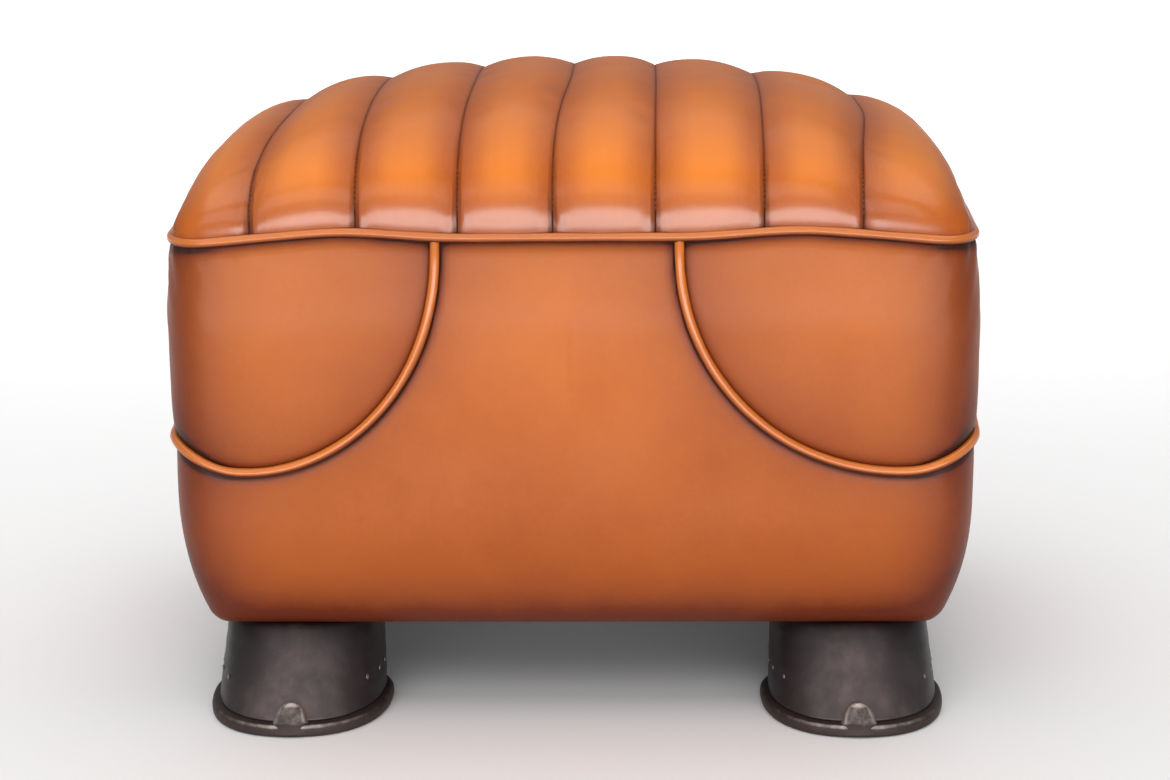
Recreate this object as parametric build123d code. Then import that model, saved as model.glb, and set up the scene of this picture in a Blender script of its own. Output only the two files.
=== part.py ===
"""Channelled leather footstool on four shod hoof feet.

Millimetres, +Z up, X across the width, front towards -Y. The origin is on the floor, under the middle of the body.
"""
import math
import os

from build123d import *

# Body
body_width = 600
body_depth = 410
underside_height = 66
seat_line_height = 367
corner_radius = 40
draw_in_height = 80
draw_in = 16
shoulder_height = 12
shoulder_in = 8
shoulder_blend_radius = 20
foot_edge_radius = 18
wall_blend_radius = 90

# Leather, welts and padding
leather_thickness = 2
welt_diameter = 6.6
piece_clearance = 0.3
leather_turn_under = 45
swag_centre_inset = 52
swag_radius = 152
swag_depth = 164
side_swag_reach = 117
side_swag_radius = 90
side_swag_depth = 156

# Seat
channel_count = 8
seat_side_inset = 10
seat_edge_height = 18
dome_rise = 75
channel_crown = 7
dome_squareness = 2.4
stations_per_half = 8
seat_foam_thickness = 28

# Carcass
carcass_inset = 34
board_thickness = 12
base_board_thickness = 16
corner_post_size = 32
strap_width = 50
strap_thickness = 1.2
cross_strap_count = 6
long_strap_count = 3
dust_cover_thickness = 1
dust_cover_overlap = 14

# Foot
foot_side_inset = 91
toe_overhang = 31.6
hoof_toe_length = 68
hoof_heel_length = 50
hoof_half_width = 62
hoof_top_half_width = 57.5
hoof_toe_slope = 50
hoof_heel_lean = 24
heel_width_share = 0.66
heel_bulb_share = 0.2
heel_cleft_share = 0.12
toe_squareness = 2.35
toe_arc_angle = 40
sole_recess_depth = 4
sole_rim = 13
frog_half_width = 21
frog_length = 70
frog_groove_width = 7

# Horseshoe
shoe_thickness = 10
shoe_side_margin = 5.3
shoe_toe_margin = 5.5
shoe_heel_margin = 4
shoe_web = 23
shoe_heel_gap = 58
shoe_bevel = 1.8
crease_inset = 12.5
crease_width = 6
crease_depth = 3.5
crease_half_length = 32
nails_per_branch = 3
nail_first_angle = 58
nail_step_angle = 15
nail_head_radius = 2.8
nail_head_height = 4
nail_head_recess = 0.6
nail_shank_radius = 1.7
nail_length = 24
clip_width = 19.5
clip_height = 14.5
clip_root = 3
clip_thickness = 4.2
clip_bevel_angle = 20
clip_brow_share = 0.62
clip_brow_height_share = 0.7

# Stud and tee nut that hold a foot
stud_inset = 68
stud_diameter = 10
stud_grip = 34
tee_flange_diameter = 26
tee_flange_thickness = 2
tee_barrel_wall = 1.5
tee_barrel_length = 10

half_width = body_width / 2
half_depth = body_depth / 2
welt_radius = welt_diameter / 2
body_top = seat_line_height - welt_radius - piece_clearance
carcass_half_width = half_width - carcass_inset
carcass_half_depth = half_depth - carcass_inset
board_bottom = underside_height + leather_thickness + base_board_thickness
strap_bottom = seat_line_height - seat_foam_thickness - 2 * strap_thickness
seat_half_width = half_width - seat_side_inset
seat_half_depth = half_depth - seat_side_inset
seat_corner_radius = corner_radius - seat_side_inset
channel_width = 2 * seat_half_width / channel_count
foot_centre_x = half_width - foot_side_inset
stud_y = half_depth - stud_inset
toe_front = -half_depth - toe_overhang
hoof_centre_y = toe_front + shoe_toe_margin + hoof_toe_length
hoof_rise = underside_height - shoe_thickness
hoof_toe_lean = hoof_rise / math.tan(math.radians(hoof_toe_slope))
hoof_shift = (hoof_toe_lean + hoof_heel_lean) / 2
hoof_toe = hoof_centre_y - hoof_toe_length
hoof_heel = hoof_centre_y + hoof_heel_length
swag_centre_x = half_width - swag_centre_inset
swag_centre_z = seat_line_height - swag_depth + swag_radius
side_swag_y = -half_depth + side_swag_reach - side_swag_radius
side_swag_z = seat_line_height - side_swag_depth + side_swag_radius
leather_window_inset = leather_turn_under + draw_in


def four_corners(piece):
    """The front right piece and its mirror images, keyed by corner."""
    front_left = mirror(piece, Plane.YZ)
    return {
        "front_right": piece,
        "front_left": front_left,
        "back_right": mirror(piece, Plane.XZ),
        "back_left": mirror(front_left, Plane.XZ),
    }


def body_form(inset, top):
    """The padded body as a solid: upright walls, drawn in to the foot and in again at the shoulder."""
    outline = RectangleRounded(body_width - 2 * inset, body_depth - 2 * inset, corner_radius - inset)
    lower_top = underside_height + draw_in_height
    shoulder_bottom = seat_line_height - shoulder_height
    draw_angle = math.degrees(math.atan(draw_in / draw_in_height))
    shoulder_angle = math.degrees(math.atan(shoulder_in / shoulder_height))
    foot = extrude(Pos(Z=lower_top) * outline, -(draw_in_height - inset), taper=draw_angle)
    wall = extrude(Pos(Z=lower_top) * outline, shoulder_bottom - lower_top)
    shoulder = extrude(Pos(Z=shoulder_bottom) * outline, top - shoulder_bottom, taper=shoulder_angle)
    form = foot + wall + shoulder
    form = fillet(form.edges().filter_by_position(Axis.Z, lower_top, lower_top), wall_blend_radius)
    form = fillet(form.edges().filter_by_position(Axis.Z, shoulder_bottom, shoulder_bottom), shoulder_blend_radius)
    return fillet(form.edges().group_by(Axis.Z)[0], foot_edge_radius - inset)


def swag_cutter():
    """The space of the front right corner patch: a U seen from the front crossed with a U seen from the side."""
    front_u = Pos(swag_centre_x, swag_centre_z) * Circle(swag_radius)
    front_u += Pos(swag_centre_x, seat_line_height) * Rectangle(2 * swag_radius, 2 * (seat_line_height - swag_centre_z))
    side_u = Pos(side_swag_y, side_swag_z) * Circle(side_swag_radius)
    side_u += Pos(side_swag_y, seat_line_height) * Rectangle(
        2 * side_swag_radius, 2 * (seat_line_height - side_swag_z))
    side_u += Pos(side_swag_y - half_depth, seat_line_height / 2) * Rectangle(body_depth, 2 * seat_line_height)
    front_prism = extrude(Plane.XZ * front_u, body_depth, both=True)
    side_prism = extrude(Plane.YZ * side_u, body_width, both=True)
    quadrant = Pos(half_width, -half_depth, seat_line_height) * Box(body_width, body_depth, 2 * seat_line_height)
    return front_prism & side_prism & quadrant


def wall_in(height):
    """How far the upright wall has drawn in at a height in the shoulder."""
    return shoulder_in * max(0, height - seat_line_height + shoulder_height) / shoulder_height


def corner_welt():
    """The piping along the front right patch: down the front, under the corner and up the side."""
    stand = welt_radius + piece_clearance / 2
    top = body_top - welt_radius * shoulder_in / shoulder_height

    def front_point(x, z):
        return Vector(x, -half_depth - stand + wall_in(z), z)

    def side_point(y, z):
        return Vector(half_width + stand - wall_in(z), y, z)

    def swag_level(x):
        return swag_centre_z - math.sqrt(swag_radius**2 - (x - swag_centre_x) ** 2)

    def side_swag_level(y):
        return side_swag_z - math.sqrt(side_swag_radius**2 - (y - side_swag_y) ** 2)

    front_low = swag_radius * math.sin(math.pi / 4)
    side_low = side_swag_radius * math.sin(math.pi / 4)
    front_x = swag_centre_x - swag_radius
    side_y = side_swag_y + side_swag_radius
    round_x, round_y = half_width - corner_radius, -half_depth + corner_radius
    shoulder_bottom = seat_line_height - shoulder_height
    drop = ThreePointArc(front_point(front_x, swag_centre_z),
                         front_point(swag_centre_x - front_low, swag_centre_z - front_low),
                         front_point(round_x, swag_level(round_x)))
    climb = ThreePointArc(side_point(round_y, side_swag_level(round_y)),
                          side_point(side_swag_y + side_low, side_swag_z - side_low),
                          side_point(side_y, side_swag_z))
    turn = Spline(drop @ 1, climb @ 0, tangents=(drop % 1, climb % 0))
    rise = Line(climb @ 1, side_point(side_y, shoulder_bottom))
    front_end = TangentArc(drop @ 0, front_point(front_x, top), tangent=(0, 0, 1))
    side_end = TangentArc(rise @ 1, side_point(side_y, top), tangent=(0, 0, 1))
    cords = [sweep(Plane(line @ 0, z_dir=line % 0) * Circle(welt_radius), line)
             for line in (front_end, drop, turn, climb, rise, side_end)]
    return sum(cords[1:], cords[0])


def body_leather():
    """The body's leather: one band with four corner openings, and the four patches that fill them."""
    outside = body_form(0, body_top)
    inside = body_form(leather_thickness, seat_line_height)
    window = Pos(Z=underside_height) * Box(
        body_width - 2 * leather_window_inset, body_depth - 2 * leather_window_inset, 4 * leather_thickness)
    leather = outside - inside - window
    patches = four_corners(swag_cutter())
    cover = leather
    for cutter in patches.values():
        cover -= cutter
    panels = four_corners(leather & patches["front_right"])
    parts = {"body_cover": cover}
    for corner, panel in panels.items():
        parts["corner_panel_" + corner] = panel
    for corner, welt in four_corners(corner_welt()).items():
        parts["corner_welt_" + corner] = welt
    return parts


def seat_welt():
    """The closed loop of piping between the seat and the body."""
    inset = seat_side_inset - piece_clearance - welt_radius
    outline = RectangleRounded(body_width - 2 * inset, body_depth - 2 * inset, corner_radius - inset)
    path = Pos(Z=seat_line_height) * outline.wire()
    return sweep(Plane(path @ 0, z_dir=path % 0) * Circle(welt_radius), path)


def side_padding():
    """Firm foam round the carcass, mitred at the corners: front, back, left and right."""
    form = body_form(leather_thickness, seat_line_height)
    core_height = 2 * seat_line_height
    form -= Box(2 * carcass_half_width, 2 * carcass_half_depth, core_height)
    far = body_width
    corner_x, corner_y = carcass_half_width, carcass_half_depth
    front = Polyline((corner_x, -corner_y), (corner_x + far, -corner_y - far), (-corner_x - far, -corner_y - far),
                     (-corner_x, -corner_y), close=True)
    side = Polyline((corner_x, -corner_y), (corner_x + far, -corner_y - far), (corner_x + far, corner_y + far),
                    (corner_x, corner_y), close=True)
    front_pad = form & extrude(make_face(front), seat_line_height)
    right_pad = form & extrude(make_face(side), seat_line_height)
    return {
        "padding_front": front_pad,
        "padding_back": mirror(front_pad, Plane.XZ),
        "padding_right": right_pad,
        "padding_left": mirror(right_pad, Plane.YZ),
    }


def dome_height(x, depth_share):
    """Height of a channel seam above the seat line."""
    across = math.sqrt(max(0, 1 - (x / seat_half_width) ** 2))
    along = (1 - abs(depth_share) ** dome_squareness) ** (1 / dome_squareness)
    return seat_edge_height + dome_rise * across * along


def channel_form(index, inset, overrun):
    """One channel of the seat as a solid, lofted from front to back through crowned sections."""
    seam_left = -seat_half_width + index * channel_width
    seam_right = seam_left + channel_width
    middle = (seam_left + seam_right) / 2
    bottom = seat_line_height - overrun
    sections = []
    for step in range(-stations_per_half, stations_per_half + 1):
        depth_share = math.sin(math.pi / 2 * step / stations_per_half)
        level = seat_line_height - inset
        left_top = (seam_left + inset, level + dome_height(seam_left, depth_share))
        right_top = (seam_right - inset, level + dome_height(seam_right, depth_share))
        crest = (middle, level + dome_height(middle, depth_share) + channel_crown)
        outline = Polyline(left_top, (left_top[0], bottom), (right_top[0], bottom), right_top)
        outline += ThreePointArc(right_top, crest, left_top)
        station = Plane(origin=(0, depth_share * (seat_half_depth - inset), 0), x_dir=(1, 0, 0), z_dir=(0, -1, 0))
        sections.append(station * make_face(outline))
    form = loft(sections, ruled=True)
    if index > 0:
        return form
    plan = RectangleRounded(2 * (seat_half_width - inset), 2 * (seat_half_depth - inset), seat_corner_radius - inset)
    return form & extrude(Pos(Z=bottom) * plan, seat_line_height)


def seat_channels():
    """The stuffed channels: a roll of filling in each, under its own leather."""
    parts = {}
    for index in range(channel_count // 2):
        filling = channel_form(index, leather_thickness, 0)
        leather = channel_form(index, 0, 0) - channel_form(index, leather_thickness, leather_thickness)
        twin = channel_count - index
        parts[f"seat_channel_{index + 1}"] = leather
        parts[f"seat_channel_{twin}"] = mirror(leather, Plane.YZ)
        parts[f"channel_filling_{index + 1}"] = filling
        parts[f"channel_filling_{twin}"] = mirror(filling, Plane.YZ)
    return parts


def strap_places(count, width):
    """Even places for straps across a width."""
    pitch = width / count
    return [(place - (count - 1) / 2) * pitch for place in range(count)]


def seat_deck():
    """The foam slab and the two layers of webbing under it."""
    width, depth = 2 * carcass_half_width, 2 * carcass_half_depth
    slab = Pos(Z=seat_line_height - seat_foam_thickness / 2) * Box(width, depth, seat_foam_thickness)
    cross_level = strap_bottom + strap_thickness / 2
    cross = [Pos(x, 0, cross_level) * Box(strap_width, depth, strap_thickness)
             for x in strap_places(cross_strap_count, width)]
    long = [Pos(0, y, cross_level + strap_thickness) * Box(width, strap_width, strap_thickness)
            for y in strap_places(long_strap_count, depth)]
    return {"seat_foam": slab, "cross_webbing": Compound(cross), "long_webbing": Compound(long)}


def stud_places():
    """Where the studs of the four feet pass through the base board."""
    return [Pos(x, y) for x in (-foot_centre_x, foot_centre_x) for y in (-stud_y, stud_y)]


def carcass():
    """The timber box: base board, four boards standing on it and a glued post in each corner."""
    width, depth = 2 * carcass_half_width, 2 * carcass_half_depth
    height = strap_bottom - board_bottom
    middle = board_bottom + height / 2
    base = Pos(Z=board_bottom - base_board_thickness / 2) * Box(width, depth, base_board_thickness)
    hole = Cylinder(stud_diameter / 2 + tee_barrel_wall + piece_clearance, 2 * board_bottom)
    for place in stud_places():
        base -= place * hole
    front = Pos(0, -carcass_half_depth + board_thickness / 2, middle) * Box(width, board_thickness, height)
    side_depth = depth - 2 * board_thickness
    right = Pos(carcass_half_width - board_thickness / 2, 0, middle) * Box(board_thickness, side_depth, height)
    post_x = carcass_half_width - board_thickness - corner_post_size / 2
    post_y = -carcass_half_depth + board_thickness + corner_post_size / 2
    post = Pos(post_x, post_y, middle) * Box(corner_post_size, corner_post_size, height)
    parts = {
        "base_board": base,
        "front_board": front,
        "back_board": mirror(front, Plane.XZ),
        "right_board": right,
        "left_board": mirror(right, Plane.YZ),
    }
    for corner, piece in four_corners(post).items():
        parts["corner_post_" + corner] = piece
    return parts


def hoof_outline(side, toe, heel, widest, height):
    """A hoof's outline at a height: round squarish toe, straighter quarters, two heel bulbs and a cleft."""
    power = 2 / toe_squareness

    def rim(degrees):
        across, along = math.sin(math.radians(degrees)), math.cos(math.radians(degrees))
        return (side * math.copysign(abs(across) ** power, across), widest - (widest - toe) * along**power)

    heel_side = side * heel_width_share
    bulb = (heel - widest) * heel_bulb_share
    cleft = (0, heel - (heel - widest) * heel_cleft_share)
    outline = ThreePointArc(rim(-toe_arc_angle), (0, toe), rim(toe_arc_angle))
    for way in (-1, 1):
        corner = (way * heel_side, heel - bulb)
        brow = way * (toe_arc_angle + 90) / 2
        outline += ThreePointArc(rim(way * toe_arc_angle), rim(brow), (way * side, widest))
        outline += TangentArc((way * side, widest), corner, tangent=(0, 1))
        outline += ThreePointArc(corner, (way * heel_side / 2, heel + bulb / 2), cleft)
    return Pos(foot_centre_x, 0, height) * make_face(outline)


def shoe_outline(inset):
    """The shoe's outline at the ground, drawn in by an inset."""
    return hoof_outline(hoof_half_width + shoe_side_margin - inset, toe_front + inset,
                        hoof_heel + shoe_heel_margin, hoof_centre_y, 0)


def nail_form(clearance):
    """A horseshoe nail, point up, standing on the floor at the origin, grown by a clearance."""
    head = Pos(Z=nail_head_recess - clearance) * Cone(
        nail_head_radius + clearance, nail_shank_radius + clearance, nail_head_height + clearance,
        align=(Align.CENTER, Align.CENTER, Align.MIN))
    shank = Pos(Z=nail_head_recess) * Cylinder(
        nail_shank_radius + clearance, nail_length, align=(Align.CENTER, Align.CENTER, Align.MIN))
    return head + shank


def nail_places():
    """The nails of the front right shoe, along the crease of both branches."""
    power = 2 / toe_squareness
    side = hoof_half_width + shoe_side_margin - crease_inset
    reach = hoof_centre_y - toe_front - crease_inset
    places = []
    for step in range(nails_per_branch):
        angle = math.radians(nail_first_angle + step * nail_step_angle)
        x = side * math.sin(angle) ** power
        y = hoof_centre_y - reach * math.cos(angle) ** power
        places += [Pos(foot_centre_x + x, y), Pos(foot_centre_x - x, y)]
    return places


def toe_clip():
    """The tongue drawn up from the shoe's toe against the hoof wall."""
    slope = math.radians(hoof_toe_slope)
    wall_foot = (foot_centre_x, hoof_toe - piece_clearance, shoe_thickness)
    wall = Plane(origin=wall_foot, x_dir=(1, 0, 0), z_dir=(0, -math.sin(slope), math.cos(slope)))
    half = clip_width / 2
    brow = (half * clip_brow_share, clip_height * clip_brow_height_share)
    tongue = Polyline((-brow[0], brow[1]), (-half, 0), (-half, -clip_root), (half, -clip_root), (half, 0), brow)
    tongue += ThreePointArc(brow, (0, clip_height), (-brow[0], brow[1]))
    return extrude(wall * make_face(tongue), clip_thickness, taper=clip_bevel_angle)


def horseshoe():
    """The front right shoe: two branches open at the heel, a toe clip, creases and nail holes."""
    gap_length = 2 * (hoof_heel + shoe_heel_margin - hoof_centre_y)
    gap = Pos(foot_centre_x, hoof_centre_y + gap_length / 2) * Rectangle(shoe_heel_gap, gap_length)
    shoulder = shoe_thickness - shoe_bevel
    shoe = extrude(shoe_outline(0), shoulder)
    shoe += loft([Pos(Z=shoulder) * shoe_outline(0), Pos(Z=shoe_thickness) * shoe_outline(shoe_bevel)], ruled=True)
    shoe -= extrude(shoe_outline(shoe_web) + gap, shoe_thickness)
    crease = shoe_outline(crease_inset - crease_width / 2) - shoe_outline(crease_inset + crease_width / 2)
    crease &= Pos(foot_centre_x, hoof_centre_y) * Rectangle(body_width, 2 * crease_half_length)
    shoe -= extrude(crease, crease_depth)
    for place in nail_places():
        shoe -= place * nail_form(piece_clearance / 2)
    return shoe + toe_clip()


def hoof():
    """The front right hoof: leaning wall, rounded top, dished sole with its frog, and a hole for the stud."""
    ground = hoof_outline(hoof_half_width, hoof_toe, hoof_heel, hoof_centre_y, shoe_thickness)
    crown = hoof_outline(hoof_top_half_width, hoof_toe + hoof_toe_lean, hoof_heel + hoof_heel_lean,
                         hoof_centre_y + hoof_shift, underside_height)
    block = loft([ground, crown], ruled=True)
    dish = hoof_outline(hoof_half_width - sole_rim, hoof_toe + sole_rim, hoof_heel - sole_rim,
                        hoof_centre_y, shoe_thickness)
    back = hoof_heel
    frog = make_face(Polyline((-frog_half_width, back), (0, back - frog_length), (frog_half_width, back), close=True))
    groove = make_face(Polyline((-frog_groove_width / 2, back), (0, back - frog_length / 2),
                                (frog_groove_width / 2, back), close=True))
    block -= extrude(dish - Pos(foot_centre_x, 0, shoe_thickness) * (frog - groove), sole_recess_depth)
    hole = Pos(foot_centre_x, -stud_y, underside_height) * Cylinder(
        (stud_diameter + piece_clearance) / 2, 2 * stud_grip)
    block -= hole
    for place in nail_places():
        block -= place * nail_form(piece_clearance / 2)
    return block


def foot_fixings():
    """The studs that hold the feet and the tee nuts in the base board that take them."""
    stud_bottom = underside_height - stud_grip
    stud_length = board_bottom - stud_bottom
    stud = Pos(Z=stud_bottom + stud_length / 2) * Cylinder(stud_diameter / 2, stud_length)
    bore = (stud_diameter + piece_clearance) / 2
    flange = Pos(Z=board_bottom + tee_flange_thickness / 2) * Cylinder(tee_flange_diameter / 2, tee_flange_thickness)
    barrel = Pos(Z=board_bottom - tee_barrel_length / 2) * Cylinder(
        stud_diameter / 2 + tee_barrel_wall, tee_barrel_length)
    nut = flange + barrel - Pos(Z=board_bottom) * Cylinder(bore, 2 * base_board_thickness)
    return {
        "foot_studs": Compound([place * stud for place in stud_places()]),
        "tee_nuts": Compound([place * nut for place in stud_places()]),
    }


def dust_cover():
    """The cloth tacked under the base, notched round the feet."""
    width = body_width - 2 * leather_window_inset + 2 * dust_cover_overlap
    depth = body_depth - 2 * leather_window_inset + 2 * dust_cover_overlap
    cloth = Pos(Z=underside_height - dust_cover_thickness / 2) * Box(width, depth, dust_cover_thickness)
    notch = extrude(hoof_outline(
        hoof_top_half_width + dust_cover_thickness, hoof_toe + hoof_toe_lean,
        hoof_heel + hoof_heel_lean + dust_cover_thickness, hoof_centre_y + hoof_shift, 0), 2 * underside_height)
    for piece in four_corners(notch).values():
        cloth -= piece
    return cloth


def build_parts():
    """Every piece of the footstool, by name."""
    parts = {"seat_welt": seat_welt(), "base_cloth": dust_cover()}
    for group in (seat_channels(), seat_deck(), body_leather(), side_padding(), carcass(), foot_fixings()):
        parts.update(group)
    for corner, piece in four_corners(hoof()).items():
        parts["hoof_" + corner] = piece
    for corner, piece in four_corners(horseshoe()).items():
        parts["horseshoe_" + corner] = piece
    nails = Compound([place * nail_form(0) for place in nail_places()])
    all_nails = [nail for group in four_corners(nails).values() for nail in group.solids()]
    parts["horseshoe_nails"] = Compound(all_nails)
    return parts


def main():
    """Writes every piece to its own file."""
    os.makedirs("parts", exist_ok=True)
    for name, piece in build_parts().items():
        piece.label = name
        export_step(piece, f"parts/{name}.step")


if __name__ == "__main__":
    main()
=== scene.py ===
"""Channelled leather footstool on four shod hoof feet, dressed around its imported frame.

Metres, +Z up, X across the width, front towards -Y.
"""
import math

import bmesh
import bpy
import numpy as np
from mathutils import Matrix, Vector


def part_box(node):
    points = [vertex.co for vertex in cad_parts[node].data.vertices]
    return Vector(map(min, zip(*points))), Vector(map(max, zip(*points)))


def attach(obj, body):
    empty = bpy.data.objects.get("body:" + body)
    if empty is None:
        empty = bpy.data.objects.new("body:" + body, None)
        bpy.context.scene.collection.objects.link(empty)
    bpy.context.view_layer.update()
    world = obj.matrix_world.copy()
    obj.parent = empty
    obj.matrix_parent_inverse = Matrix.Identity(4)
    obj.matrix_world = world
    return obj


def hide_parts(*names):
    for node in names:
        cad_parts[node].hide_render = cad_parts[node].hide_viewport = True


bl_info = {
    "name": "Channelled Leather Footstool",
    "version": (1, 0, 0),
    "blender": (4, 5, 0),
    "location": "View3D > Sidebar > Footstool",
    "description": "Makes a channelled leather footstool on shod hoof feet around its packed frame",
    "category": "Object",
}

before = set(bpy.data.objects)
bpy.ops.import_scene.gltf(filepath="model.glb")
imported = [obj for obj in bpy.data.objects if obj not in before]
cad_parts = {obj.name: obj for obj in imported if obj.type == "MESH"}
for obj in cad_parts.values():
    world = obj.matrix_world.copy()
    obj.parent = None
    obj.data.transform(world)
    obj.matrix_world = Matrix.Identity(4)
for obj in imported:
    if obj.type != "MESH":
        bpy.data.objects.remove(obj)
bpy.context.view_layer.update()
cover_low, cover_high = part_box("body_cover")
welt_low, welt_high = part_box("seat_welt")

half_width = cover_high.x
half_depth = cover_high.y
underside = cover_low.z
seat_line = (welt_low.z + welt_high.z) / 2
welt_radius = (welt_high.z - welt_low.z) / 2
corners = ("front_right", "front_left", "back_right", "back_left")
corner_signs = {"front_right": (1, 1), "front_left": (-1, 1), "back_right": (1, -1), "back_left": (-1, -1)}


# ---- settings


def number(name, value, text, **kind):
    return bpy.props.FloatProperty(name=name, description=text, default=value, **kind)


def length(name, value, text):
    return number(name, value, text, unit="LENGTH", precision=4)


def angle(name, degrees, text):
    return number(name, math.radians(degrees), text, subtype="ANGLE")


def colour(name, red, green, blue, text):
    """A colour property from display values of 0 to 255."""
    linear = [((v / 255 + 0.055) / 1.055) ** 2.4 for v in (red, green, blue)]
    return bpy.props.FloatVectorProperty(name=name, description=text, default=linear, subtype="COLOR", size=3)


class BodySettings(bpy.types.PropertyGroup):
    corner_radius: length("Corner radius", 0.04, "Radius of the body's upright corners in plan")
    draw_top: length("Draw-in top", 0.164, "Height where the walls start to draw in towards the foot")
    draw_in: length("Draw-in", 0.022, "How far the walls draw in at the foot")
    draw_power: number("Draw-in power", 2.3, "How late the draw-in comes")
    edge_radius: length("Bottom edge radius", 0.010, "Rounding of the bottom edge")
    turn_under: length("Turn-under", 0.045, "Width of leather turned under the base")
    shoulder: length("Shoulder", 0.0052, "How far the wall leans in below the seat")
    shoulder_bottom: length("Shoulder bottom", 0.295, "Height where the shoulder starts")
    front_bow: length("Front bow", 0.0035, "How far the front and back swell in their middle")
    side_bow: length("Side bow", 0.003, "How far the sides swell in their middle")
    side_stand_in: length("Side stand-in", 0.0034, "How far the sides' ends stand in from the plan")
    patch_swell: length("Patch swell", 0.0019, "How far a corner patch stands out from its piping")
    leather: length("Leather thickness", 0.0018, "Thickness of the leather")


class SwagSettings(bpy.types.PropertyGroup):
    right_start: length("Right patch start", 0.078, "Distance of the right patches' front seam from the middle")
    left_start: length("Left patch start", 0.097, "Distance of the left patches' front seam from the middle")
    low_place: length("Lowest place", 0.240, "Distance from the middle where the piping is lowest")
    turn_height: length("Turn height", 0.355, "Height where the piping leaves the upright")
    drop: length("Drop", 0.162, "How far the piping falls below its turn")
    side_centre: length("Side centre", 0.178, "Distance from the middle of the depth to the side curve's centre")
    side_height: length("Side height", 0.301, "Height of the side curve's centre")
    side_radius: length("Side radius", 0.09, "Radius of the side curve")


class SeatSettings(bpy.types.PropertyGroup):
    side_inset: length("Side inset", 0.0112, "How far the seat's edge stands in from the body's wall")
    edge_lift: length("Edge lift", 0.001, "Height of the seat's edge above the piping's middle")
    edge_flare: length("Edge flare", 0.0016, "How far the seat's edge spreads against the piping")
    dome_rise: length("Dome rise", 0.0945, "Height of the dome above the seat's edge")
    across_power: number("Across power", 2.20, "Squareness of the dome across")
    along_power: number("Along power", 2.45, "Squareness of the dome from front to back")
    crown: length("Channel crown", 0.0055, "How far a channel swells between its seams before it is stuffed")
    crown_power: number("Crown power", 2.6, "Squareness of a channel")
    stuffing_cap: length("Stuffing cap", 0.004, "How far stuffing may move a point of the leather")
    pucker_height: length("Pucker height", 0.0011, "Height of the small pleats beside the seams, above the piping")
    seam_depth: length("Seam depth", 0.0017, "How deep the leather tucks into a seam")


class WeltSettings(bpy.types.PropertyGroup):
    girth: length("Girth", 0.00355, "Half the thickness of the piping")
    stand: length("Stand", 0.0034, "Distance of the corner piping's middle from the wall")
    unevenness: length("Unevenness", 0.00018, "How much the piping's thickness wanders")
    stitch_pitch: length("Stitch pitch", 0.0042, "Distance from stitch to stitch")
    stitch_length: length("Stitch length", 0.0031, "Length of a stitch")
    thread: length("Thread", 0.0007, "Thickness of the thread")


class FootSettings(bpy.types.PropertyGroup):
    spread: length("Spread", 0.4195, "Distance between the middles of the left and right feet")
    toe_out: angle("Toe out", 0, "How far each foot turns outward")
    ground_side: length("Ground half width", 0.0635, "Half width of the hoof on its shoe")
    crown_side: length("Crown half width", 0.0595, "Half width of the hoof under the body")
    widest: length("Widest place", 0.1631, "Distance of the hoof's widest place from the middle")
    toe: length("Toe", 0.0735, "Distance from the widest place to the toe")
    heel: length("Heel", 0.050, "Distance from the widest place to the heel")
    toe_lean: length("Toe lean", 0.0525, "How far the toe wall leans back over its height")
    heel_lean: length("Heel lean", 0.024, "How far the heel leans forward over its height")
    toe_squareness: number("Toe squareness", 2.35, "Power of the toe's curve")
    shoe_thickness: length("Shoe thickness", 0.0092, "Thickness of the horseshoe")
    shoe_side: length("Shoe side margin", 0.0055, "How far the shoe stands out at the sides")
    shoe_toe: length("Shoe toe margin", 0.0072, "How far the shoe stands out at the toe")
    shoe_web: length("Shoe web", 0.023, "Width of the shoe's bar")
    clip_width: length("Clip width", 0.0256, "Width of the toe clip's arch")
    clip_flare: length("Clip flare", 0.0030, "How far the clip spreads to each side at its root")
    clip_height: length("Clip height", 0.0150, "Height of the toe clip along the wall")
    clip_thickness: length("Clip thickness", 0.0028, "Thickness of the toe clip at its tip")


class FinishSettings(bpy.types.PropertyGroup):
    tan: colour("Tan", 191, 99, 31, "Main colour of the leather")
    # This pale colour is also painted light: the swell mask lays it where the leather is rubbed and where light falls,
    # high on the body and in the channels' middles.
    honey: colour("Honey", 233, 132, 42, "Lightest rubbed colour of the leather")
    russet: colour("Russet", 166, 77, 25, "Shaded colour of the leather")
    # This dark colour is also painted shade: its mask holds the seams' real burnishing and shade painted at the foot,
    # round the corners and under the piping.
    burnish_and_shade: colour("Burnish", 94, 33, 13, "Dark colour rubbed into seams and edges")
    # Painted shadow: this near-black goes where the seam mask is deepest, under the piping, on the pipings' undersides
    # and along the body's bottom edge, and on the back seam's line.
    crease: colour("Crease", 30, 12, 7, "Darkest colour, deep in the creases beside the piping")
    horn: colour("Horn", 15, 10, 11, "Colour of the hoof")
    # Pale horn is dust and painted highlight: the toe mask lays it mostly down the front of the wall, where light
    # falls.
    horn_dust_and_highlight: colour("Pale horn", 108, 90, 90, "Dusty streaks of the hoof")
    iron: colour("Iron", 58, 47, 45, "Colour of the horseshoe")
    # Worn iron is also a painted highlight along the shoe's top outer edge, strongest at the toe.
    worn: colour("Worn iron", 190, 182, 176, "Rubbed bright iron")
    floor: colour("Floor", 251, 251, 251, "Colour of the floor")


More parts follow.
